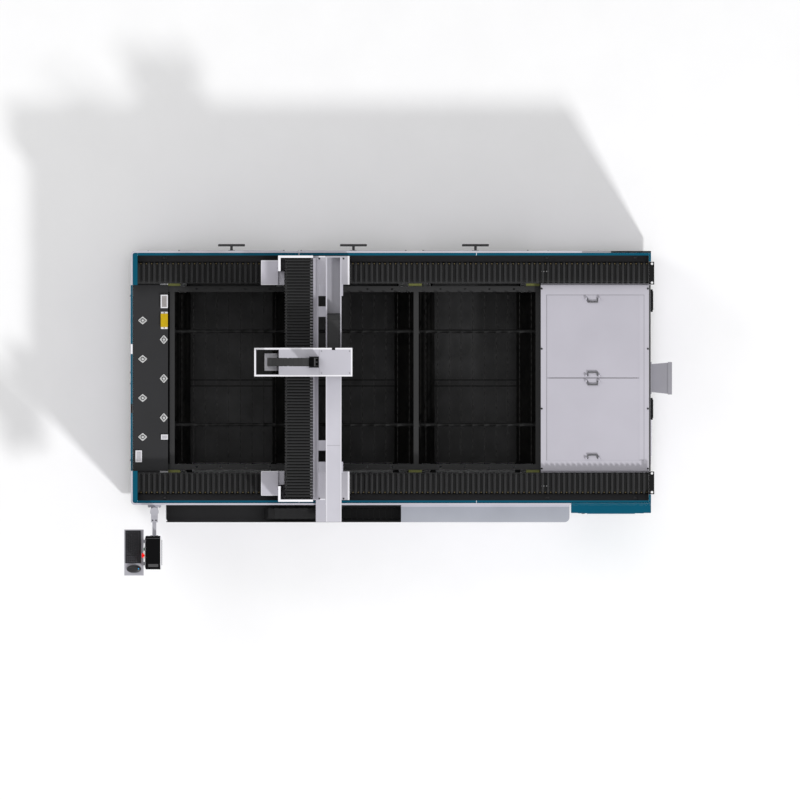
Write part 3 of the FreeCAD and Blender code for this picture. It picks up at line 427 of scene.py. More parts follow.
NODES_IN = [
    (dark_paint, "base_frame"),
    (black_paint, "leveling_feet end_fittings"),
    (table_paint, "rail_beams table_frame"),
    (gutter_paint, "rail_gutters"),
    (rail_steel, "x_ways y_ways z_screw"),
    (panel_paint, "side_panels end_panels"),
    (teal_paint, "teal_parts"),
    (slat_steel, "slats"),
    (rod_steel, "slat_rods"),
    (olive_paint, "lugs"),
    (chute_steel, "chute_sides"),
    (drawer_steel, "drawer_1 drawer_2 drawer_3"),
    (plate_paint, "loading_plate"),
    (flange_steel, "ball_transfers"),
    (stop_paint, "stop_blocks"),
    (deck_paint, "rear_deck"),
    (lid_paint, "lids"),
    (bail_steel, "bail_1 bail_2 bail_3 bail_4"),
    (cabinet_paint, "power_units"),
    (duct_paint, "duct"),
    (tray_paint, "x_tray"),
    (platform_paint, "x_platform"),
    (cast_paint, "saddles carriage"),
    (motor_paint, "x_motors"),
    (pinion_steel, "x_pinion_rear x_pinion_front y_pinion"),
    (light_paint, "motor_covers beam"),
    (rim_paint, "end_boxes"),
    (trunk_paint, "cable_trunk"),
    (bracket_paint, "head_drives"),
    (hood_paint, "hood"),
    (slide_lightened_paint, "z_slide"),
    (console_paint, "console_bracket console_arm"),
    (enclosure_paint, "console_enclosure"),
]
for node_finish, node_names in NODES_IN:
    for node_name in node_names.split():
        node_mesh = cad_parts[node_name].data
        node_mesh.materials.clear()
        node_mesh.materials.append(node_finish)


# ---- bellows
def linear_blend(obj, a, b, weights, start, end):
    """Lets a folding piece stretch evenly between two bodies: a point's weight is its share of the motion."""
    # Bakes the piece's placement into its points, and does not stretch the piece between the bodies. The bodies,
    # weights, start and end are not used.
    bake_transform(obj)


def stretch(obj, node, fixed, stations, axis, bodies):
    """Works out each point's share of a slide's motion along a folding piece, none at its fixed end and all of it
    at the moving end, and passes it to linear_blend, which does not use it.
    """
    low, high = place_of(node)
    moving = low[axis] if fixed == high[axis] else high[axis]
    ends = np.tile([0.0, 0.0, 1.0], (2, 1))
    ends[:, axis] = fixed, moving
    linear_blend(obj, *bodies, (stations - fixed) / (moving - fixed), *(tuple(e) for e in ends.tolist()))


def pleat_wave(count, start, end, ridge_share):
    """Stations along a bellows and how far each lies below the ridge: flat ridges, and folds between them."""
    pitch = (end - start) / count
    slope = 0.07 if ridge_share < 0.3 else 0.22
    steps = np.array([0.0, ridge_share, ridge_share + slope, 1.0 - slope])
    drop = np.array([0.0, 0.0, 1.0, 1.0])
    at = (start + pitch * (np.arange(count)[:, None] + steps[None])).ravel()
    down = np.tile(drop, count)
    return np.append(at, end), np.append(down, 0.0)


def set_sunk(obj, rows, outline, down, dark=()):
    """Stores how deep in a fold each point lies, for the cloth's painted fold shade; dark lists points painted in
    full shade.
    """
    sunk = np.repeat(down[:, None], outline, axis=1)
    sunk[:, list(dark)] = 1.0
    field = obj.data.attributes.new("sunk", "FLOAT", "POINT")
    field.data.foreach_set("value", np.tile(sunk.ravel(), rows).astype(np.float32))


def cover_rings(outline, inward, wall, depth, at, down, axis):
    """A bent strip carried along an axis; the strip sinks by depth at each valley and has a constant wall."""
    outline, inward = np.asarray(outline, float), np.asarray(inward, float)
    outer = outline[None] + inward[None] * (depth * down)[:, None, None]
    inner = outline[None] + inward[None] * (depth + wall)
    inner = np.repeat(inner, len(at), axis=0)
    loop = np.concatenate([outer, inner[:, ::-1]], axis=1)
    stack = np.zeros((len(at), loop.shape[1], 3))
    along = "xyz".index(axis)
    across = [1, 2] if axis == "x" else [0, 2]
    stack[..., across[0]] = loop[..., 0]
    stack[..., across[1]] = loop[..., 1]
    stack[..., along] = at[:, None]
    return stack


WAY_PLEAT = 0.048
WAY_WIDTH = 0.192
WAY_DEPTH = 0.015
WAY_BODIES = ("bed", "gantry")


def way_bellows(node, fixed_end, name):
    """Pleated covers over the rear and front guide ways; side 1 is the rear."""
    low, high = place_of(node)
    parts = []
    for side in (1, -1):
        near = high[1] - WAY_WIDTH if side == 1 else low[1]
        y0, y1 = near, near + WAY_WIDTH
        z0, z1 = low[2], high[2]
        outline = [(y0, z0), (y0, z1 - 0.022), (y0 + 0.016, z1 - 0.004), (y0 + 0.04, z1),
                   (y1 - 0.04, z1), (y1 - 0.016, z1 - 0.004), (y1, z1 - 0.022), (y1, z0)]
        inward = [(1, 0), (1, -0.2), (0.6, -0.8), (0, -1), (0, -1), (-0.6, -0.8), (-1, -0.2), (-1, 0)]
        count = round((high[0] - low[0]) / WAY_PLEAT)
        at, down = pleat_wave(count, low[0], high[0], 0.26)
        stack = cover_rings(outline, inward, 0.002, WAY_DEPTH, at, down, "x")
        parts.append(rings(stack[:, ::-1]))
    verts, faces = join(parts)
    obj = put(name, verts, faces, None, way_cloth, "bellows_fabric")
    set_sunk(obj, 2, stack.shape[1], down)
    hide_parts(node)
    stretch(obj, node, fixed_end, verts[:, 0], 0, WAY_BODIES)


def way_rivets(node, fixed_end, name):
    """A brass rivet in the outer end of each fold."""
    low, high = place_of(node)
    count = round((high[0] - low[0]) / WAY_PLEAT)
    pitch = (high[0] - low[0]) / count
    x = low[0] + pitch * (np.arange(count) + 0.63)
    z = high[2] - WAY_DEPTH - 0.006
    places = np.array([(at, y, z) for y in (high[1] - 0.013, low[1] + 0.013) for at in x])
    verts, faces = turned([(0.006, 0), (0.0055, 0.004), (0.0025, 0.0058)], places, "z", 8)
    obj = put(name, verts, faces, None, brass, "bellows_fabric", smooth=True)
    stretch(obj, node, fixed_end, np.repeat(places[:, 0], len(verts) // len(places)), 0, WAY_BODIES)


def way_clips(node, fixed_end, name):
    """Pairs of pale cable clips on the right bellows, in the middle of its width."""
    high = place_of(node)[1]
    lows, highs = [], []
    for y in (1.245, -0.686):
        for x in (1.29, 1.331):
            lows.append([x, y - 0.005, high[2] - WAY_DEPTH])
            highs.append([x + 0.026, y + 0.005, high[2] - 0.0005])
    verts, faces = tapered(lows, highs, 0.002)
    obj = put(name, verts, faces, None, clip_plastic, "bellows_fabric")
    stretch(obj, node, fixed_end, np.repeat(np.array(lows)[:, 0] + 0.013, len(BOX_CORNERS)), 0, WAY_BODIES)


for half, fixed_corner in (("left", 0), ("right", 1)):
    half_node = "way_bellows_" + half
    half_fixed = place_of(half_node)[fixed_corner][0]
    way_bellows(half_node, half_fixed, "way_cover_" + half)
    way_rivets(half_node, half_fixed, "rivets_" + half)
way_clips(half_node, half_fixed, "clips_right")

BEAM_PLEAT = 0.027
BEAM_DEPTH = 0.013
RIGHT_LEG = 0.049


def beam_bellows(node, fixed_end, name):
    """The pleated hook over the top and left side of the cross beam."""
    low, high = place_of(node)
    x0, x1, z0, z1 = low[0], high[0] + 0.006, low[2], high[2]
    outline = [(x0, z0), (x0, z1 - 0.03), (x0 + 0.01, z1 - 0.008), (x0 + 0.03, z1),
               (x1 - 0.02, z1), (x1 - 0.005, z1 - 0.006), (x1, z1 - 0.02), (x1, z1 - RIGHT_LEG)]
    inward = [(1.3, 0), (1.3, 0), (1.2, -0.7), (0, -1), (-1.6, -1), (-2.0, -0.7), (-2.1, 0), (-2.1, 0)]
    count = round((high[1] - low[1]) / BEAM_PLEAT)
    at, down = pleat_wave(count, low[1], high[1], 0.31)
    stack = cover_rings(outline, inward, 0.002, BEAM_DEPTH, at, down, "y")
    verts, faces = rings(stack)
    obj = put(name, verts, faces, None, beam_cloth, "beam_bellows_fabric")
    # painted shade: the points of the side legs get the full fold shade
    set_sunk(obj, 1, stack.shape[1], down, (0, 1, 5, 6, 7))
    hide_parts(node)
    stretch(obj, node, fixed_end, verts[:, 1], 1, ("gantry", "head"))


for half, fixed_corner in (("rear", 1), ("front", 0)):
    half_node = "beam_bellows_" + half
    beam_bellows(half_node, place_of(half_node)[fixed_corner][1], "beam_cover_" + half)


# ---- chains
def chain_path(straight_in, radius, straight_out):
    """A function from distance along a chain to its place (along, up), its direction and its share of motion.

    The first run goes in the minus direction to the bend at 0, and the second comes back above it."""
    arc = math.pi * radius

    def at(s):
        s = np.asarray(s, float)
        turn = np.clip((s - straight_in) / arc, 0, 1) * math.pi
        along = np.where(s < straight_in, straight_in - s, -radius * np.sin(turn))
        along = np.where(s > straight_in + arc, s - straight_in - arc, along)
        up = radius - radius * np.cos(turn)
        way = np.stack([-np.cos(turn), np.sin(turn)], axis=-1)
        share = np.where(s < straight_in, 0.5 * s / max(straight_in, 1e-6), 0.5)
        share = np.where(s > straight_in + arc, 0.5 + 0.5 * (s - straight_in - arc) / straight_out, share)
        return along, up, way, share
    return at, straight_in + arc + straight_out


def chain_links(length, pitch, thick, width):
    """Points (distance, up, across) and faces of the links: each has side plates, a lid and a floor bar."""
    count = max(2, round(length / pitch))
    step = length / count
    plate = 0.13 * width
    lows, highs = [], []
    start = np.arange(count) * step
    half = 0.5 * thick
    for across0, across1, down, up, back, front in (
            (0.0, 0.55 * plate, -half, half, 0.0, 0.72),
            (0.45 * plate, plate, -0.82 * half, 0.82 * half, 0.5, 1.1),
            (width - 0.55 * plate, width, -half, half, 0.0, 0.72),
            (width - plate, width - 0.45 * plate, -0.82 * half, 0.82 * half, 0.5, 1.1),
            (0.4 * plate, width - 0.4 * plate, 0.72 * half, 0.96 * half, 0.04, 1.02),
            (0.4 * plate, width - 0.4 * plate, -0.96 * half, -0.72 * half, 0.04, 1.02)):
        lows.append(np.stack([start + back * step, np.full(count, down), np.full(count, across0)], axis=1))
        ends = np.minimum(start + front * step, length)
        highs.append(np.stack([ends, np.full(count, up), np.full(count, across1)], axis=1))
    return boxes(np.concatenate(lows), np.concatenate(highs))


def lay_chain(name, node, path, length, pitch, thick, width, to_space, bodies, ends, finish):
    """Bends straight links on to a chain's path and puts them in place of the plain ribbon."""
    verts, faces = chain_links(length, pitch, thick, width)
    along, up, way, share = path(verts[:, 0])
    away = np.stack([-way[:, 1], way[:, 0]], axis=1)
    along = along - away[:, 0] * verts[:, 1]
    up = up - away[:, 1] * verts[:, 1]
    obj = put(name, to_space(along, up, verts[:, 2]), faces, None, finish, "chain_plastic")
    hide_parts(node)
    linear_blend(obj, *bodies, share, *ends)


def x_chain():
    """The chain in the front tray: fixed at the platform, bent at the left, and led back to the gantry."""
    low, high = place_of("x_chain")
    radius, thick = 0.09, 0.042
    bend = low[0] + radius + thick / 2
    moving = -0.694
    path, length = chain_path(high[0] - bend, radius, moving - bend)

    def to_space(along, up, across):
        return np.stack([bend + along, low[1] + across, low[2] + thick / 2 + up], axis=1)
    lay_chain("x_energy_chain", "x_chain", path, length, 0.052, thick, high[1] - low[1], to_space,
              ("bed", "gantry"), ((0, 0, 0.7), (0, 0, 1.0)), dark_chain)


def y_chain():
    """The chain in the cable trunk: fixed at mid trunk, bent at the rear, and led back to the head."""
    low, high = place_of("y_chain")
    radius, thick = 0.05, 0.036
    bend = high[1] - radius - thick / 2
    path, length = chain_path(bend - low[1], radius, bend - 0.484)

    def to_space(along, up, across):
        return np.stack([low[0] + across, bend - along, low[2] + thick / 2 + up], axis=1)
    lay_chain("y_energy_chain", "y_chain", path, length, 0.036, thick, high[0] - low[0], to_space,
              ("gantry", "head"), ((0, 0, 1.3), (0, 0, 1.6)), chain_plastic)


def z_chain():
    """The arch over the head: up from the Z slide, over, and down to the bracket on the hood."""
    low, high = place_of("z_chain")
    thick = 0.036
    radius = (high[0] - low[0] - thick) / 2
    spring = high[2] - radius - thick / 2
    bracket_top = 1.7043
    path, length = chain_path(spring - low[2], radius, spring - bracket_top)

    def arch(s):
        along, up, way, share = path(s)
        return along, up, way, 1 - share

    def to_space(along, up, across):
        return np.stack([low[0] + thick / 2 + up, low[1] + across, spring - along], axis=1)
    lay_chain("z_energy_chain", "z_chain", arch, length, 0.04, thick, high[1] - low[1], to_space,
              ("head", "z_slide"), ((0, 0, 1.6), (0, 0, 1.9)), chain_plastic)


x_chain()
y_chain()
z_chain()


# ---- cutting head
def cutting_head():
    """The optical body with its cover plates, focusing barrel, ceramic ring and copper nozzle."""
    low, high = place_of("cutting_head")
    x, y = (low[0] + high[0]) / 2, (low[1] + high[1]) / 2
    tip = low[2]
    centre = [(x, y, tip)]
    barrel = [(0.0, 0.062), (0.036, 0.062), (0.036, 0.078), (0.03, 0.081), (0.03, 0.11), (0.033, 0.112),
              (0.033, 0.13), (0.03, 0.132), (0.03, 0.172), (0.034, 0.176), (0.034, 0.188), (0.0, 0.189)]
    body_low = np.array([[x - 0.04, y - 0.04, tip + 0.188], [x - 0.043, y - 0.042, tip + 0.205],
                         [x - 0.04, y - 0.04, tip + 0.262], [x - 0.043, y - 0.042, tip + 0.275]])
    body_high = np.array([[x + 0.04, y + 0.04, tip + 0.205], [x + 0.043, y + 0.042, tip + 0.262],
                          [x + 0.04, y + 0.04, tip + 0.275], [x + 0.043, y + 0.042, tip + 0.33]])
    verts, faces = join([turned(barrel, centre, segments=48), boxes(body_low, body_high)])
    body = put("optical_head", verts, faces, "z_slide", motor_paint, "head_black")
    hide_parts("cutting_head")
    bevel(body, 0.0015)
    put("ceramic_ring", *turned([(0, 0.04), (0.02, 0.04), (0.024, 0.044), (0.024, 0.0617), (0, 0.0617)],
                                centre, segments=48), "z_slide", ceramic, "head_black", True, 35)
    outline = [(0.001, 0.0), (0.003, 0.0), (0.0092, 0.016), (0.0092, 0.018), (0.016, 0.034), (0.0175, 0.036),
               (0.0175, 0.04), (0, 0.0402)]
    put("copper_nozzle", *turned(outline, centre, segments=48), "z_slide", copper, "head_black", True, 35)
    knob = [(0, 0), (0.01, 0), (0.011, 0.002), (0.011, 0.01), (0.009, 0.012), (0, 0.012)]
    knob_x = x - 0.043 - 0.012
    spots = [(knob_x, y - 0.018, tip + 0.235), (knob_x, y + 0.018, tip + 0.235), (knob_x, y, tip + 0.3)]
    put("head_knobs", *turned(knob, spots, "x", 24), "z_slide", screw_steel, "head_black", True, 35)


cutting_head()


# ---- console
def keyboard():
    """A low wedge with rows of blank tapered keys."""
    low, high = place_of("keyboard")
    top = high[2] - 0.006
    case = put("keyboard_case", *tapered([low], [[high[0], high[1], top]], 0.002), "console", case_plastic,
               "key_plastic")
    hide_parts("keyboard")
    bevel(case, 0.003, 3)
    across = np.linspace(low[0] + 0.01, high[0] - 0.012, 7)
    rows = []
    keys_in_row = [16, 15, 15, 14, 13, 9]
    for k, count in enumerate(keys_in_row):
        edge = np.linspace(high[1] - 0.01, low[1] + 0.078, count + 1)
        rows.append((across[5 - k], across[6 - k], edge))
    pad = np.linspace(low[1] + 0.07, low[1] + 0.01, 4)
    for k in range(5):
        rows.append((across[4 - k], across[5 - k], pad))
    lows, highs = [], []
    for x0, x1, edge in rows:
        n = len(edge) - 1
        lows.append(np.stack([np.full(n, x0 + 0.0012), edge[1:] + 0.0012, np.full(n, top - 0.001)], axis=1))
        highs.append(np.stack([np.full(n, x1 - 0.0012), edge[:-1] - 0.0012, np.full(n, high[2])], axis=1))
    keys = put("keys", *tapered(np.concatenate(lows), np.concatenate(highs), 0.0022), "console", key_plastic,
               "key_plastic")
    bevel(keys, 0.0006, 1)


def mouse():
    """A hump: a squared oval in plan, raised as a cosine hill that peaks toward the palm."""
    low, high = place_of("mouse")
    u = np.linspace(0, 1, 26)[:, None]
    v = np.linspace(0, 2 * np.pi, 56, endpoint=False)[None, :]
    shrink = np.cos(u * np.pi / 2) ** 0.55
    half = (high - low) / 2
    middle = (high + low) / 2
    x = middle[0] + half[0] * shrink * np.sign(np.cos(v)) * np.abs(np.cos(v)) ** 0.8
    y = middle[1] + half[1] * shrink * np.sign(np.sin(v)) * np.abs(np.sin(v)) ** 0.8 * (
        1 - 0.08 * np.cos(2 * v))
    palm = 1 - 0.14 * ((x - middle[0]) / half[0] - 0.2) ** 2
    z = low[2] + 2 * half[2] * np.sin(u * np.pi / 2) ** 0.8 * palm
    stack = np.stack([x, y, z], axis=-1)
    body = put("mouse_shell", *rings(stack), "console", mouse_plastic, "mouse_plastic", True, 60)
    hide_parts("mouse")
    wheel_at = (middle[0] - half[0] * 0.45, middle[1] - 0.004, high[2] - 0.009)
    wheel = [(0, 0), (0.009, 0), (0.01, 0.002), (0.01, 0.006), (0.009, 0.008), (0, 0.008)]
    put("mouse_wheel", *turned(wheel, [wheel_at], "y", 24), "console", case_plastic, "mouse_plastic",
        True, 40)


keyboard()
mouse()


# ---- small parts
BED_Y = 0.286
REAR = BED_Y + 1.143
FRONT = BED_Y - 1.143
SCREW = [(0.0, 0.0), (0.0065, 0.0), (0.0065, 0.0025), (0.0058, 0.0038), (0.003, 0.0038), (0.0028, 0.0014),
         (0.0, 0.0014)]


def strips(body, rows):
    """Raised strips and plates on one body.

    A row is name, finish, slot, rounding of the edges (or 0), and spans: each bar's lowest and highest corner."""
    for name, finish, slot, rounding, spans in rows:
        obj = put(name, *boxes(*zip(*spans)), body, finish, slot)
        if rounding:
            bevel(obj, rounding)


def frame_spans(low, high, z0, z1, width):
    """Four bars round a rectangle, inside its edges."""
    (x0, y0), (x1, y1) = low, high
    return [([x0, y0, z0], [x1, y0 + width, z1]), ([x0, y1 - width, z0], [x1, y1, z1]),
            ([x0, y0 + width, z0], [x0 + width, y1 - width, z1]),
            ([x1 - width, y0 + width, z0], [x1, y1 - width, z1])]


def both_sides(x0, x1, d0, d1, z0, z1):
    """The same bar at the rear and at the front; d is the distance out from the bed's middle line."""
    return [([x0, BED_Y + d0, z0], [x1, BED_Y + d1, z1]), ([x0, BED_Y - d1, z0], [x1, BED_Y - d0, z1])]


def screws(name, body, slot, places, axis="z", size=1.0, finish=black_screw, flip=False):
    """Socket screws: a turned head with a sunk socket."""
    profile = [(r * size, (-h if flip else h) * size) for r, h in SCREW]
    put(name, *turned(profile, places, axis, 16), body, finish, slot, True, 30)


def louvres(name, x0, x1, z0, z1, count, wall, out, finish, slot, axis=1):
    """Rows of pressed slots: each is a low wedge that stands out of the sheet."""
    step = (z1 - z0) / count
    z = z0 + step * np.arange(count)
    lows, highs = np.zeros((count, 3)), np.zeros((count, 3))
    lows[:, 1 - axis], highs[:, 1 - axis] = x0, x1
    lows[:, axis], highs[:, axis] = sorted((wall, wall + out))
    lows[:, 2], highs[:, 2] = z, z + 0.45 * step
    verts, faces = boxes(lows, highs)
    points = verts.reshape(-1, 8, 3)
    outer_top = np.isclose(points[:, :, axis], wall + out) & (BOX_CORNERS[:, 2] == 1)[None]
    points[..., 2] -= np.where(outer_top, 0.38 * step, 0.0)
    bevel(put(name, points.reshape(-1, 3), faces, "bed", finish, slot), 0.0008, 1)


def push_button(node, cap_name, cap, finish, slot, ring_name, ring, ring_finish, ring_slot, segments):
    """A turned cap that stands for the node, in a hoop on the panel; both outlines are (radius, x)."""
    low, high = place_of(node)
    centre = [(0, (low[1] + high[1]) / 2, (low[2] + high[2]) / 2)]
    stem = [(0, high[0] - 0.0005), (cap[0][0], high[0] - 0.0005)]
    piece = put(cap_name, *turned(stem + cap, centre, "x", segments), node, finish, slot, True, 40)
    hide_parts(node)
    put(ring_name, *turned(ring + ring[:1], centre, "x", segments), "console", ring_finish, ring_slot,
        True, 40)


def console_details():
    """Bezel and glass of the screen, vents, trim, stop button, start button, mouse lamp and screws."""
    face = -2.2743
    out = face - 0.0052
    strips("console", [
        ("screen_bezel", shelf_paint, "console_paint", 0.0015,
         [([out, -1.423, 1.47], [face, -1.149, 1.478]), ([out, -1.423, 1.232], [face, -1.149, 1.24]),
          ([out, -1.423, 1.24], [face, -1.415, 1.47]), ([out, -1.157, 1.24], [face, -1.149, 1.47])]),
        ("screen_glass", glass_black, "enclosure_black", 0.001,
         [([face - 0.0068, -1.411, 1.245], [face - 0.0045, -1.161, 1.465])]),
        ("enclosure_strip", edge_paint, "console_paint", 0,
         [([-2.14, -1.437, 1.4998], [-2.1295, -1.135, 1.5025])]),
        ("enclosure_lip", mark_paint, "enclosure_black", 0,
         [([-2.262, -1.16, 1.4998], [-2.142, -1.156, 1.5012])])])
    back = -2.129
    slots_z = np.linspace(1.09, 1.43, 18)
    lows = np.stack([np.full(18, back), np.full(18, -1.4), slots_z], axis=1)
    highs = np.stack([np.full(18, back + 0.004), np.full(18, -1.17), slots_z + 0.008], axis=1)
    put("enclosure_louvres", *tapered(lows, highs, 0.0025, 0), "console", black_paint, "enclosure_black")
    put("enclosure_band", *tapered([[-2.25, -1.415, 1.4998]], [[-2.159, -1.388, 1.502]], 0.002), "console",
        mark_paint, "enclosure_black")
    push_button("estop", "stop_button",
                [(0.009, -2.288), (0.02, -2.2884), (0.022, -2.292), (0.022, -2.298), (0.0205, -2.3035),
                 (0.016, -2.3065), (0.008, -2.3076), (0, -2.308)], red_plastic, "red_plastic",
                "stop_ring", [(0.03, -2.282), (0.03, -2.2827), (0.029, -2.2832), (0.0105, -2.2832),
                              (0.0105, -2.282)], yellow_plastic, "red_plastic", 48)
    push_button("start_button", "start_cap", [(0.0118, -2.2885), (0.0105, -2.29), (0, -2.29)],
                green_plastic, "green_plastic",
                "start_ring", [(0.016, -2.282), (0.016, -2.285), (0.0145, -2.286), (0.0124, -2.286),
                               (0.0124, -2.282)], screw_steel, "enclosure_black", 32)
    screws("arm_screws", "console", "console_paint", [(x, -0.995, 1.11) for x in (-2.21, -2.1786)])
    lamp = [(0.0, 0.0), (0.0055, 0.0), (0.005, 0.003), (0.0025, 0.0045), (0.0, 0.0048)]
    lamp_at = (-2.337, -1.431, place_of("mouse")[1][2] - 0.0048)
    put("mouse_light", *turned(lamp, [lamp_at], "z", 20), "console", blue_plastic, "mouse_plastic", True, 50)
    screws("bracket_screws", "bed", "console_paint",
           [(x, -0.875, z) for x in (-2.24, -2.146) for z in (0.815, 0.995)], "y", 1.1, flip=True)


def hood_details():
    """White folded edges round the hood and the open bay, its cover seam, a black plate of painted shade in the
    cable notch, doors and screws.
    """
    (x0, y0, _), (x1, y1, top) = place_of("hood")
    z0, z1 = top - 0.0004, top + 0.0016
    notch0, notch1 = -0.597, -0.566
    edges = frame_spans((x0, y0), (x1, y1), z0, z1, 0.014)
    rear = edges.pop(1)
    edges += [(rear[0], [notch0, y1, z1]), ([notch1, rear[0][1], z0], [x1, y1, z1])]
    seam0, seam1 = y0 + 0.014, y1 - 0.014
    anchor = 1.712
    strips("head", [
        ("hood_edges", edge_paint, "hood_paint", 0.0006, edges),
        # painted shade: a black plate where the cable notch opens into the dark head
        ("hood_notch_shade", black_paint, "head_black", 0, [([notch0, y1 - 0.02, z0], [notch1, y1, top + 0.0012])]),
        ("hood_seam", seam_paint, "hood_paint", 0,
         [([-0.7122, seam0, z0], [-0.7096, seam1, top + 0.0006]),
          ([-1.0752, seam0, z0], [-1.073, seam1, top + 0.0006])]),
        ("hood_door_front", hood_paint, "hood_paint", 0.001,
         [([-1.06, y0 - 0.0012, 1.56], [-0.73, y0 + 0.0004, 1.68])]),
        ("hood_door_rear", hood_paint, "hood_paint", 0.001,
         [([-1.06, y1 - 0.0004, 1.56], [-0.73, y1 + 0.0012, 1.68])]),
        ("chain_anchor", mark_paint, "head_black", 0.0008,
         [([-0.757, 0.391, anchor], [-0.744, 0.467, 1.7595]),
          ([-0.742, 0.392, anchor], [-0.7235, 0.398, 1.756]),
          ([-0.742, 0.46, anchor], [-0.7235, 0.466, 1.756]),
          ([-0.742, 0.424, anchor], [-0.7235, 0.434, 1.75])])])
    screws("hood_screws", "head", "hood_paint",
           [(x, y, top) for x in (-0.69, -0.436) for y in (y0 + 0.03, y1 - 0.03)],
           size=0.8, finish=seam_paint)
    screws("hood_door_screws", "head", "hood_paint",
           [(x, y0 - 0.001, z) for x in (-1.045, -0.745) for z in (1.572, 1.668)], "y", 0.7, flip=True)


def gantry_details():
    """Rims of the motor covers, edges of the saddles and trunk, seams, and fixing screws."""
    rims = []
    for side in (1, -1):
        ya, yb = sorted((BED_Y + side * 0.837, BED_Y + side * 1.059))
        rims += frame_spans((-1.234, ya), (-1.081, yb), 1.2076, 1.2096, 0.008)[:3]
    saddle = both_sides(-0.455, -0.438, 0.841, 1.098, 1.0846, 1.0868)
    saddle += both_sides(-0.714, -0.656, 1.086, 1.098, 1.0846, 1.0862)
    low, high = place_of("end_boxes")
    leaf, z0, z1 = low[0] + 0.022, high[2] - 0.0004, high[2] + 0.0016
    strips("gantry", [
        ("cover_rims", trim_paint, "cover_paint", 0.0006, rims),
        ("saddle_edges", edge_paint, "cast_grey", 0.0006, saddle),
        ("trunk_edges", trim_paint, "trunk_paint", 0.0006,
         [([x, -1.01, 1.4596], [x + 0.011, 0.299, 1.4618]) for x in (-0.651, -0.521)]),
        ("trunk_seam", seam_paint, "trunk_paint", 0, [([-0.64, -0.3222, 1.4597], [-0.521, -0.3196, 1.4606])]),
        ("trough_edges", trunk_paint, "trunk_paint", 0.0005,
         [([x, 0.565, 1.4396], [x + 0.012, 1.3745, 1.4412]) for x in (-0.651, -0.522)]),
        # painted shade: a darker sheet on the trough floor, where the trough walls cast shade
        ("trough_painted_shade", trough_shade_paint, "trunk_paint", 0,
         [([-0.6465, 0.56, 1.3588], [-0.5145, 1.3705, 1.3602])]),
        ("end_box_edges", edge_paint, "light_paint", 0.0006,
         [([low[0], high[1] - 0.02, z0], [-0.766, high[1], z1]),
          ([low[0], low[1], z0], [-0.766, low[1] + 0.02, z1]),
          ([low[0], high[1] - 0.14, z0], [leaf, high[1] - 0.02, z1]),
          ([low[0], low[1] + 0.02, z0], [leaf, low[1] + 0.14, z1])])])
    screws("saddle_screws", "gantry", "cast_grey",
           [(x, BED_Y + d, 1.085) for d in (1.0745, -1.0865) for x in (-0.7095, -0.491)], size=1.2)
    screws("end_box_screws", "gantry", "light_paint",
           [(-1.0815, y, z) for y in (1.275, 1.375, -0.715, -0.815) for z in (1.16, 1.36)],
           "x", 0.8, flip=True)


def bed_details():
    """Seams of the teal strip, clamps in the gutters, screws, plates and edges along the bed's top."""
    seams = both_sides(-0.894, -0.89, 1.103, 1.1268, 1.0358, 1.0372)
    seams += both_sides(0.703, 0.707, 1.103, 1.1268, 1.0358, 1.0372)
    cap_y = REAR - 0.0158
    strips("bed", [
        ("teal_seams", edge_paint, "teal_paint", 0, seams),
        ("gap_strips", edge_paint, "light_paint", 0,
         [([x, y, 0.866], [-2.072, y + 0.0116, 0.8675]) for x, y in ((-2.139, 1.1232), (-2.163, -0.5628))]),
        ("deck_end_cap", mark_paint, "dark_paint", 0,
         [([2.2575, BED_Y - 0.836, 0.9], [2.2728, BED_Y + 0.836, 0.9012])]),
        ("deck_fold", seam_paint, "deck_paint", 0,
         frame_spans((1.333, -0.455), (2.215, 1.035), 0.9216, 0.9226, 0.004)),
        ("rear_edge_cap", black_paint, "dark_paint", 0, [([1.916, cap_y, 1.0446], [2.2758, REAR, 1.0466])]),
        ("rear_edge_step", seam_paint, "panel_paint", 0, [([1.655, cap_y, 1.0446], [1.9155, REAR, 1.0462])]),
        ("front_edge_cap", teal_paint, "teal_paint", 0,
         [([1.557, FRONT, 1.0446], [2.2758, FRONT + 0.0158, 1.0464])]),
        ("end_plate_light", edge_paint, "light_paint", 0.0006,
         [([-2.4062, 0.502, 0.8796], [-2.3905, 0.591, 0.8816])]),
        ("end_plate_dark", black_paint, "dark_paint", 0.0006,
         [([-2.4062, -0.029, 0.8796], [-2.3905, 0.052, 0.8816])]),
        ("platform_lip", trunk_paint, "platform_paint", 0.0005,
         [([0.027, -0.872, 0.9416], [1.541, -0.8585, 0.9432])]),
        ("tray_lip", black_paint, "tray_black", 0, [([-2.087, -1.0118, 0.9294], [0.025, -1.003, 0.9312])])])
    clamps = [bar for x in (-2.102, 1.34, 2.139)
              for bar in both_sides(x - 0.02, x + 0.02, 1.066, 1.094, 0.93, 0.942)]
    bevel(put("gutter_clamps", *tapered(*zip(*clamps), 0.008), "bed", mark_paint, "gutter_dark"), 0.0015)
    screws("deck_screws", "bed", "deck_paint",
           [(x, y, 0.922) for x in (1.2925, 2.248) for y in (1.0895, 0.5485, 0.0095, -0.529)], size=1.3)


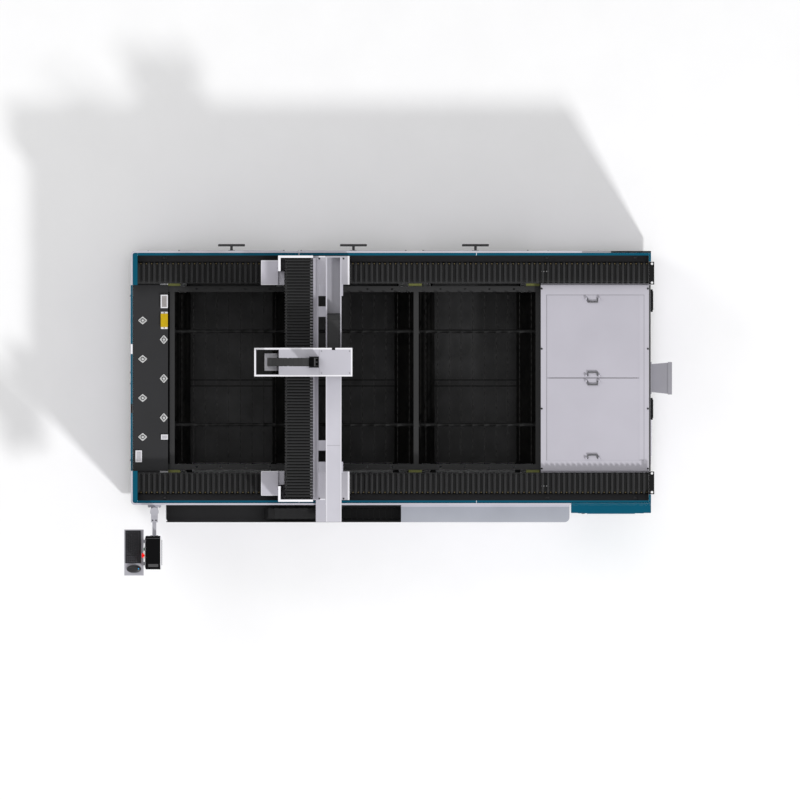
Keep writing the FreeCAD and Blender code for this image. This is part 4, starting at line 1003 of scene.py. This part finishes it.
def loading_end_details():
    """Tabs, rims and screws of the stop blocks, and the cup rims and screws of the ball transfers."""
    balls = [(-2.299, BED_Y + d, 0) for d in (0.518, 0.171, -0.18, -0.531)]
    balls += [(-2.109, BED_Y + d, 0) for d in (0.346, -0.005, -0.357)]
    cup = [(0.0132, 0.8886), (0.019, 0.8886), (0.019, 0.8894), (0.0182, 0.89), (0.0134, 0.89),
           (0.0132, 0.8886)]
    put("cup_rims", *turned(cup, balls, "z", 32), "bed", mark_paint, "light_paint", True, 40)
    screws("flange_screws", "bed", "light_paint",
           [(x + a * (x < -2.2), y + a * (x > -2.2), 0.886) for x, y, _ in balls for a in (-0.0275, 0.0275)],
           size=0.55)
    rims = frame_spans((-2.137, 0.915), (-2.073, 1.035), 0.8956, 0.8976, 0.01)
    rims += frame_spans((-2.364, -0.472), (-2.306, -0.366), 0.8896, 0.8914, 0.009)
    rims += frame_spans((-2.134, -0.268), (-2.073, -0.223), 0.8896, 0.8914, 0.008)
    strips("bed", [
        ("stop_tabs", edge_paint, "stop_paint", 0.001,
         [([-2.135, y0, 0.8798], [-2.075, y1, 0.886]) for y0, y1 in ((0.8652, 0.8815), (0.7275, 0.7448))]),
        ("stop_rim", rim_paint, "stop_paint", 0.0006, rims)])
    screws("stop_screws", "bed", "stop_paint", [(-2.105, y, 0.886) for y in (0.8735, 0.736)], size=0.8)


def front_details():
    """Doors with pulls and louvres, panel seams, and the teal drive cabinet's door and lock."""
    spans = [(-1.95, -1.2), (-1.12, -0.37), (-0.29, 0.46), (0.54, 1.29)]
    cabinet = -0.929
    seams = [([x - 0.0015, wall - 0.0008, foot], [x + 0.0015, wall + 0.0008, 1.04])
             for wall, foot in ((FRONT, 0.11), (REAR, 0.432)) for x in (-0.892, 0.705)]
    strips("bed", [
        ("front_doors", panel_paint, "panel_paint", 0.0015,
         [([x0, FRONT - 0.003, 0.2], [x1, FRONT + 0.0004, 0.64]) for x0, x1 in spans]),
        ("door_pulls", black_paint, "dark_paint", 0.0012,
         [([x0 + 0.3, FRONT - 0.006, 0.545], [x1 - 0.3, FRONT - 0.0028, 0.575]) for x0, x1 in spans]),
        ("panel_seams", seam_paint, "panel_paint", 0, seams),
        ("service_door", teal_paint, "teal_paint", 0.0015,
         [([1.62, cabinet - 0.003, 0.3], [2.21, cabinet + 0.0004, 0.88])]),
        ("service_lock", black_paint, "dark_paint", 0.002,
         [([1.65, cabinet - 0.0075, 0.58], [1.68, cabinet - 0.0026, 0.66])])])
    for k, (x0, x1) in enumerate(spans):
        louvres("door_louvres_%d" % (k + 1), x0 + 0.1, x1 - 0.1, 0.25, 0.39, 8, FRONT - 0.0028, -0.005,
                panel_paint, "panel_paint")
    louvres("service_louvres", 1.7, 2.13, 0.36, 0.52, 8, cabinet - 0.0028, -0.005, teal_paint, "teal_paint")
    screws("door_screws", "bed", "panel_paint",
           [(x, FRONT - 0.0028, z) for x0, x1 in spans for x in (x0 + 0.02, x1 - 0.02) for z in (0.22, 0.62)],
           "y", 1.2, flip=True)


def drawer_details():
    """Folded rims, bars, leaf and screws on each drawer's front, and the screws of the rear panel."""
    y = 1.427
    back = y - 0.0004
    lip = y + 0.006
    for number, x in ((1, -1.5), (2, -0.402), (3, 0.696)):
        drawer = "drawer_%d" % number
        strips(drawer, [
            ("drawer_rim_%d" % number, panel_paint, "drawer_dark", 0.0015,
             [([x + x0, back, z0], [x + x1, lip, z1]) for x0, x1, z0, z1 in
              ((-0.478, 0.478, 0.201, 0.215), (-0.478, 0.478, 0.408, 0.4225),
               (-0.478, -0.464, 0.215, 0.408), (0.464, 0.478, 0.215, 0.408))]),
            ("drawer_bars_%d" % number, black_paint, "drawer_dark", 0.0008,
             [([x - 0.38, b - 0.004, 0.2036], [x + 0.38, b + 0.004, 0.207]) for b in (0.214, 0.268)]),
            ("drawer_front_%d" % number, panel_paint, "drawer_dark", 0.0006,
             [([x - 0.462, back, 0.2165], [x + 0.462, y + 0.0014, 0.4065])])])
        screws("drawer_screws_%d" % number, drawer, "drawer_dark",
               [(x + dx, lip, z) for dx in (-0.471, 0.471) for z in (0.208, 0.415)], "y", 1.1)
    screws("rear_screws", "bed", "panel_paint",
           [(x, REAR, z) for x in np.arange(-2.25, 2.25, 0.45) for z in (0.47, 1.0)], "y", 1.2, panel_paint)


def end_details():
    """Doors, louvres, vents and screws on the right end and the left end."""
    right, left = 2.273, -2.406
    strips("bed", [
        ("end_door", panel_paint, "panel_paint", 0.0015,
         [([right - 0.0004, BED_Y - 0.78, 0.18], [right + 0.003, BED_Y - 0.2, 0.44])]),
        ("left_doors", panel_paint, "panel_paint", 0.0015,
         [([left - 0.003, BED_Y - 0.76 + 0.79 * k, 0.2], [left + 0.0004, BED_Y - 0.03 + 0.79 * k, 0.72])
          for k in range(2)])])
    louvres("end_louvres", BED_Y - 0.7, BED_Y - 0.28, 0.22, 0.4, 8, right + 0.0028, 0.006, panel_paint,
            "panel_paint", axis=0)
    for k, (y0, y1) in enumerate(((0.88, 1.084), (-0.09, 0.107))):
        louvres("vent_slots_%d" % (k + 1), y0 + 0.015, y1 - 0.015, 0.58, 0.765, 9, 2.291, 0.005, black_paint,
                "black_metal", axis=0)
    screws("left_screws", "bed", "panel_paint",
           [(left - 0.0028, BED_Y + dy, z) for dy in (-0.74, -0.05, 0.05, 0.74) for z in (0.22, 0.7)],
           "x", 1.2, flip=True)


console_details()
hood_details()
gantry_details()
bed_details()
loading_end_details()
front_details()
drawer_details()
end_details()


# ---- floor, light and camera
def floor():
    """A broad matt sheet just under the feet."""
    mat = powder_coat("floor_matt", (0.97, 0.97, 0.975), rough=0.8, vary=0.01, grain=60.0)
    u, v = np.meshgrid(np.linspace(-16, 16, 3), np.linspace(-16, 16, 3), indexing="ij")
    points = np.stack([u, v, np.full_like(u, -0.0005)], axis=-1).reshape(-1, 3)
    sheet = put("floor", points, grid_faces(3, 3, False).tolist(), None, mat, None)


def area_light(name, place, target, size, power, colour=(1, 1, 1)):
    data = bpy.data.lights.new(name, "AREA")
    data.shape = "RECTANGLE"
    data.size, data.size_y = size
    data.energy = power
    data.color = colour
    lamp = bpy.data.objects.new(name, data)
    lamp.location = place
    lamp.rotation_euler = (Vector(target) - Vector(place)).to_track_quat("-Z", "Y").to_euler()
    bpy.context.scene.collection.objects.link(lamp)


floor()
area_light("key", (12.0, -16.0, 14.6), (0, 0, 0.8), (2.2, 2.2), 3900.0)
area_light("fill", (-10.0, 8.0, 11.0), (0, 0, 0.8), (7.0, 7.0), 420.0)

world = bpy.data.worlds.new("studio")
world.use_nodes = True
sky = world.node_tree.nodes["Background"]
sky.inputs["Color"].default_value = (1.0, 1.0, 1.0, 1.0)
sky.inputs["Strength"].default_value = 0.62
bpy.context.scene.world = world

camera_data = bpy.data.cameras.new("camera")
camera_data.type = "ORTHO"
camera_data.ortho_scale = 7.2
camera_data.clip_end = 60.0
camera = bpy.data.objects.new("camera", camera_data)
camera.location = (0.0167, 0.0878, 12.0)
camera.rotation_euler = (0.0, 0.0, 0.0)
bpy.context.scene.collection.objects.link(camera)
bpy.context.scene.camera = camera
bpy.context.scene.view_settings.view_transform = "Standard"
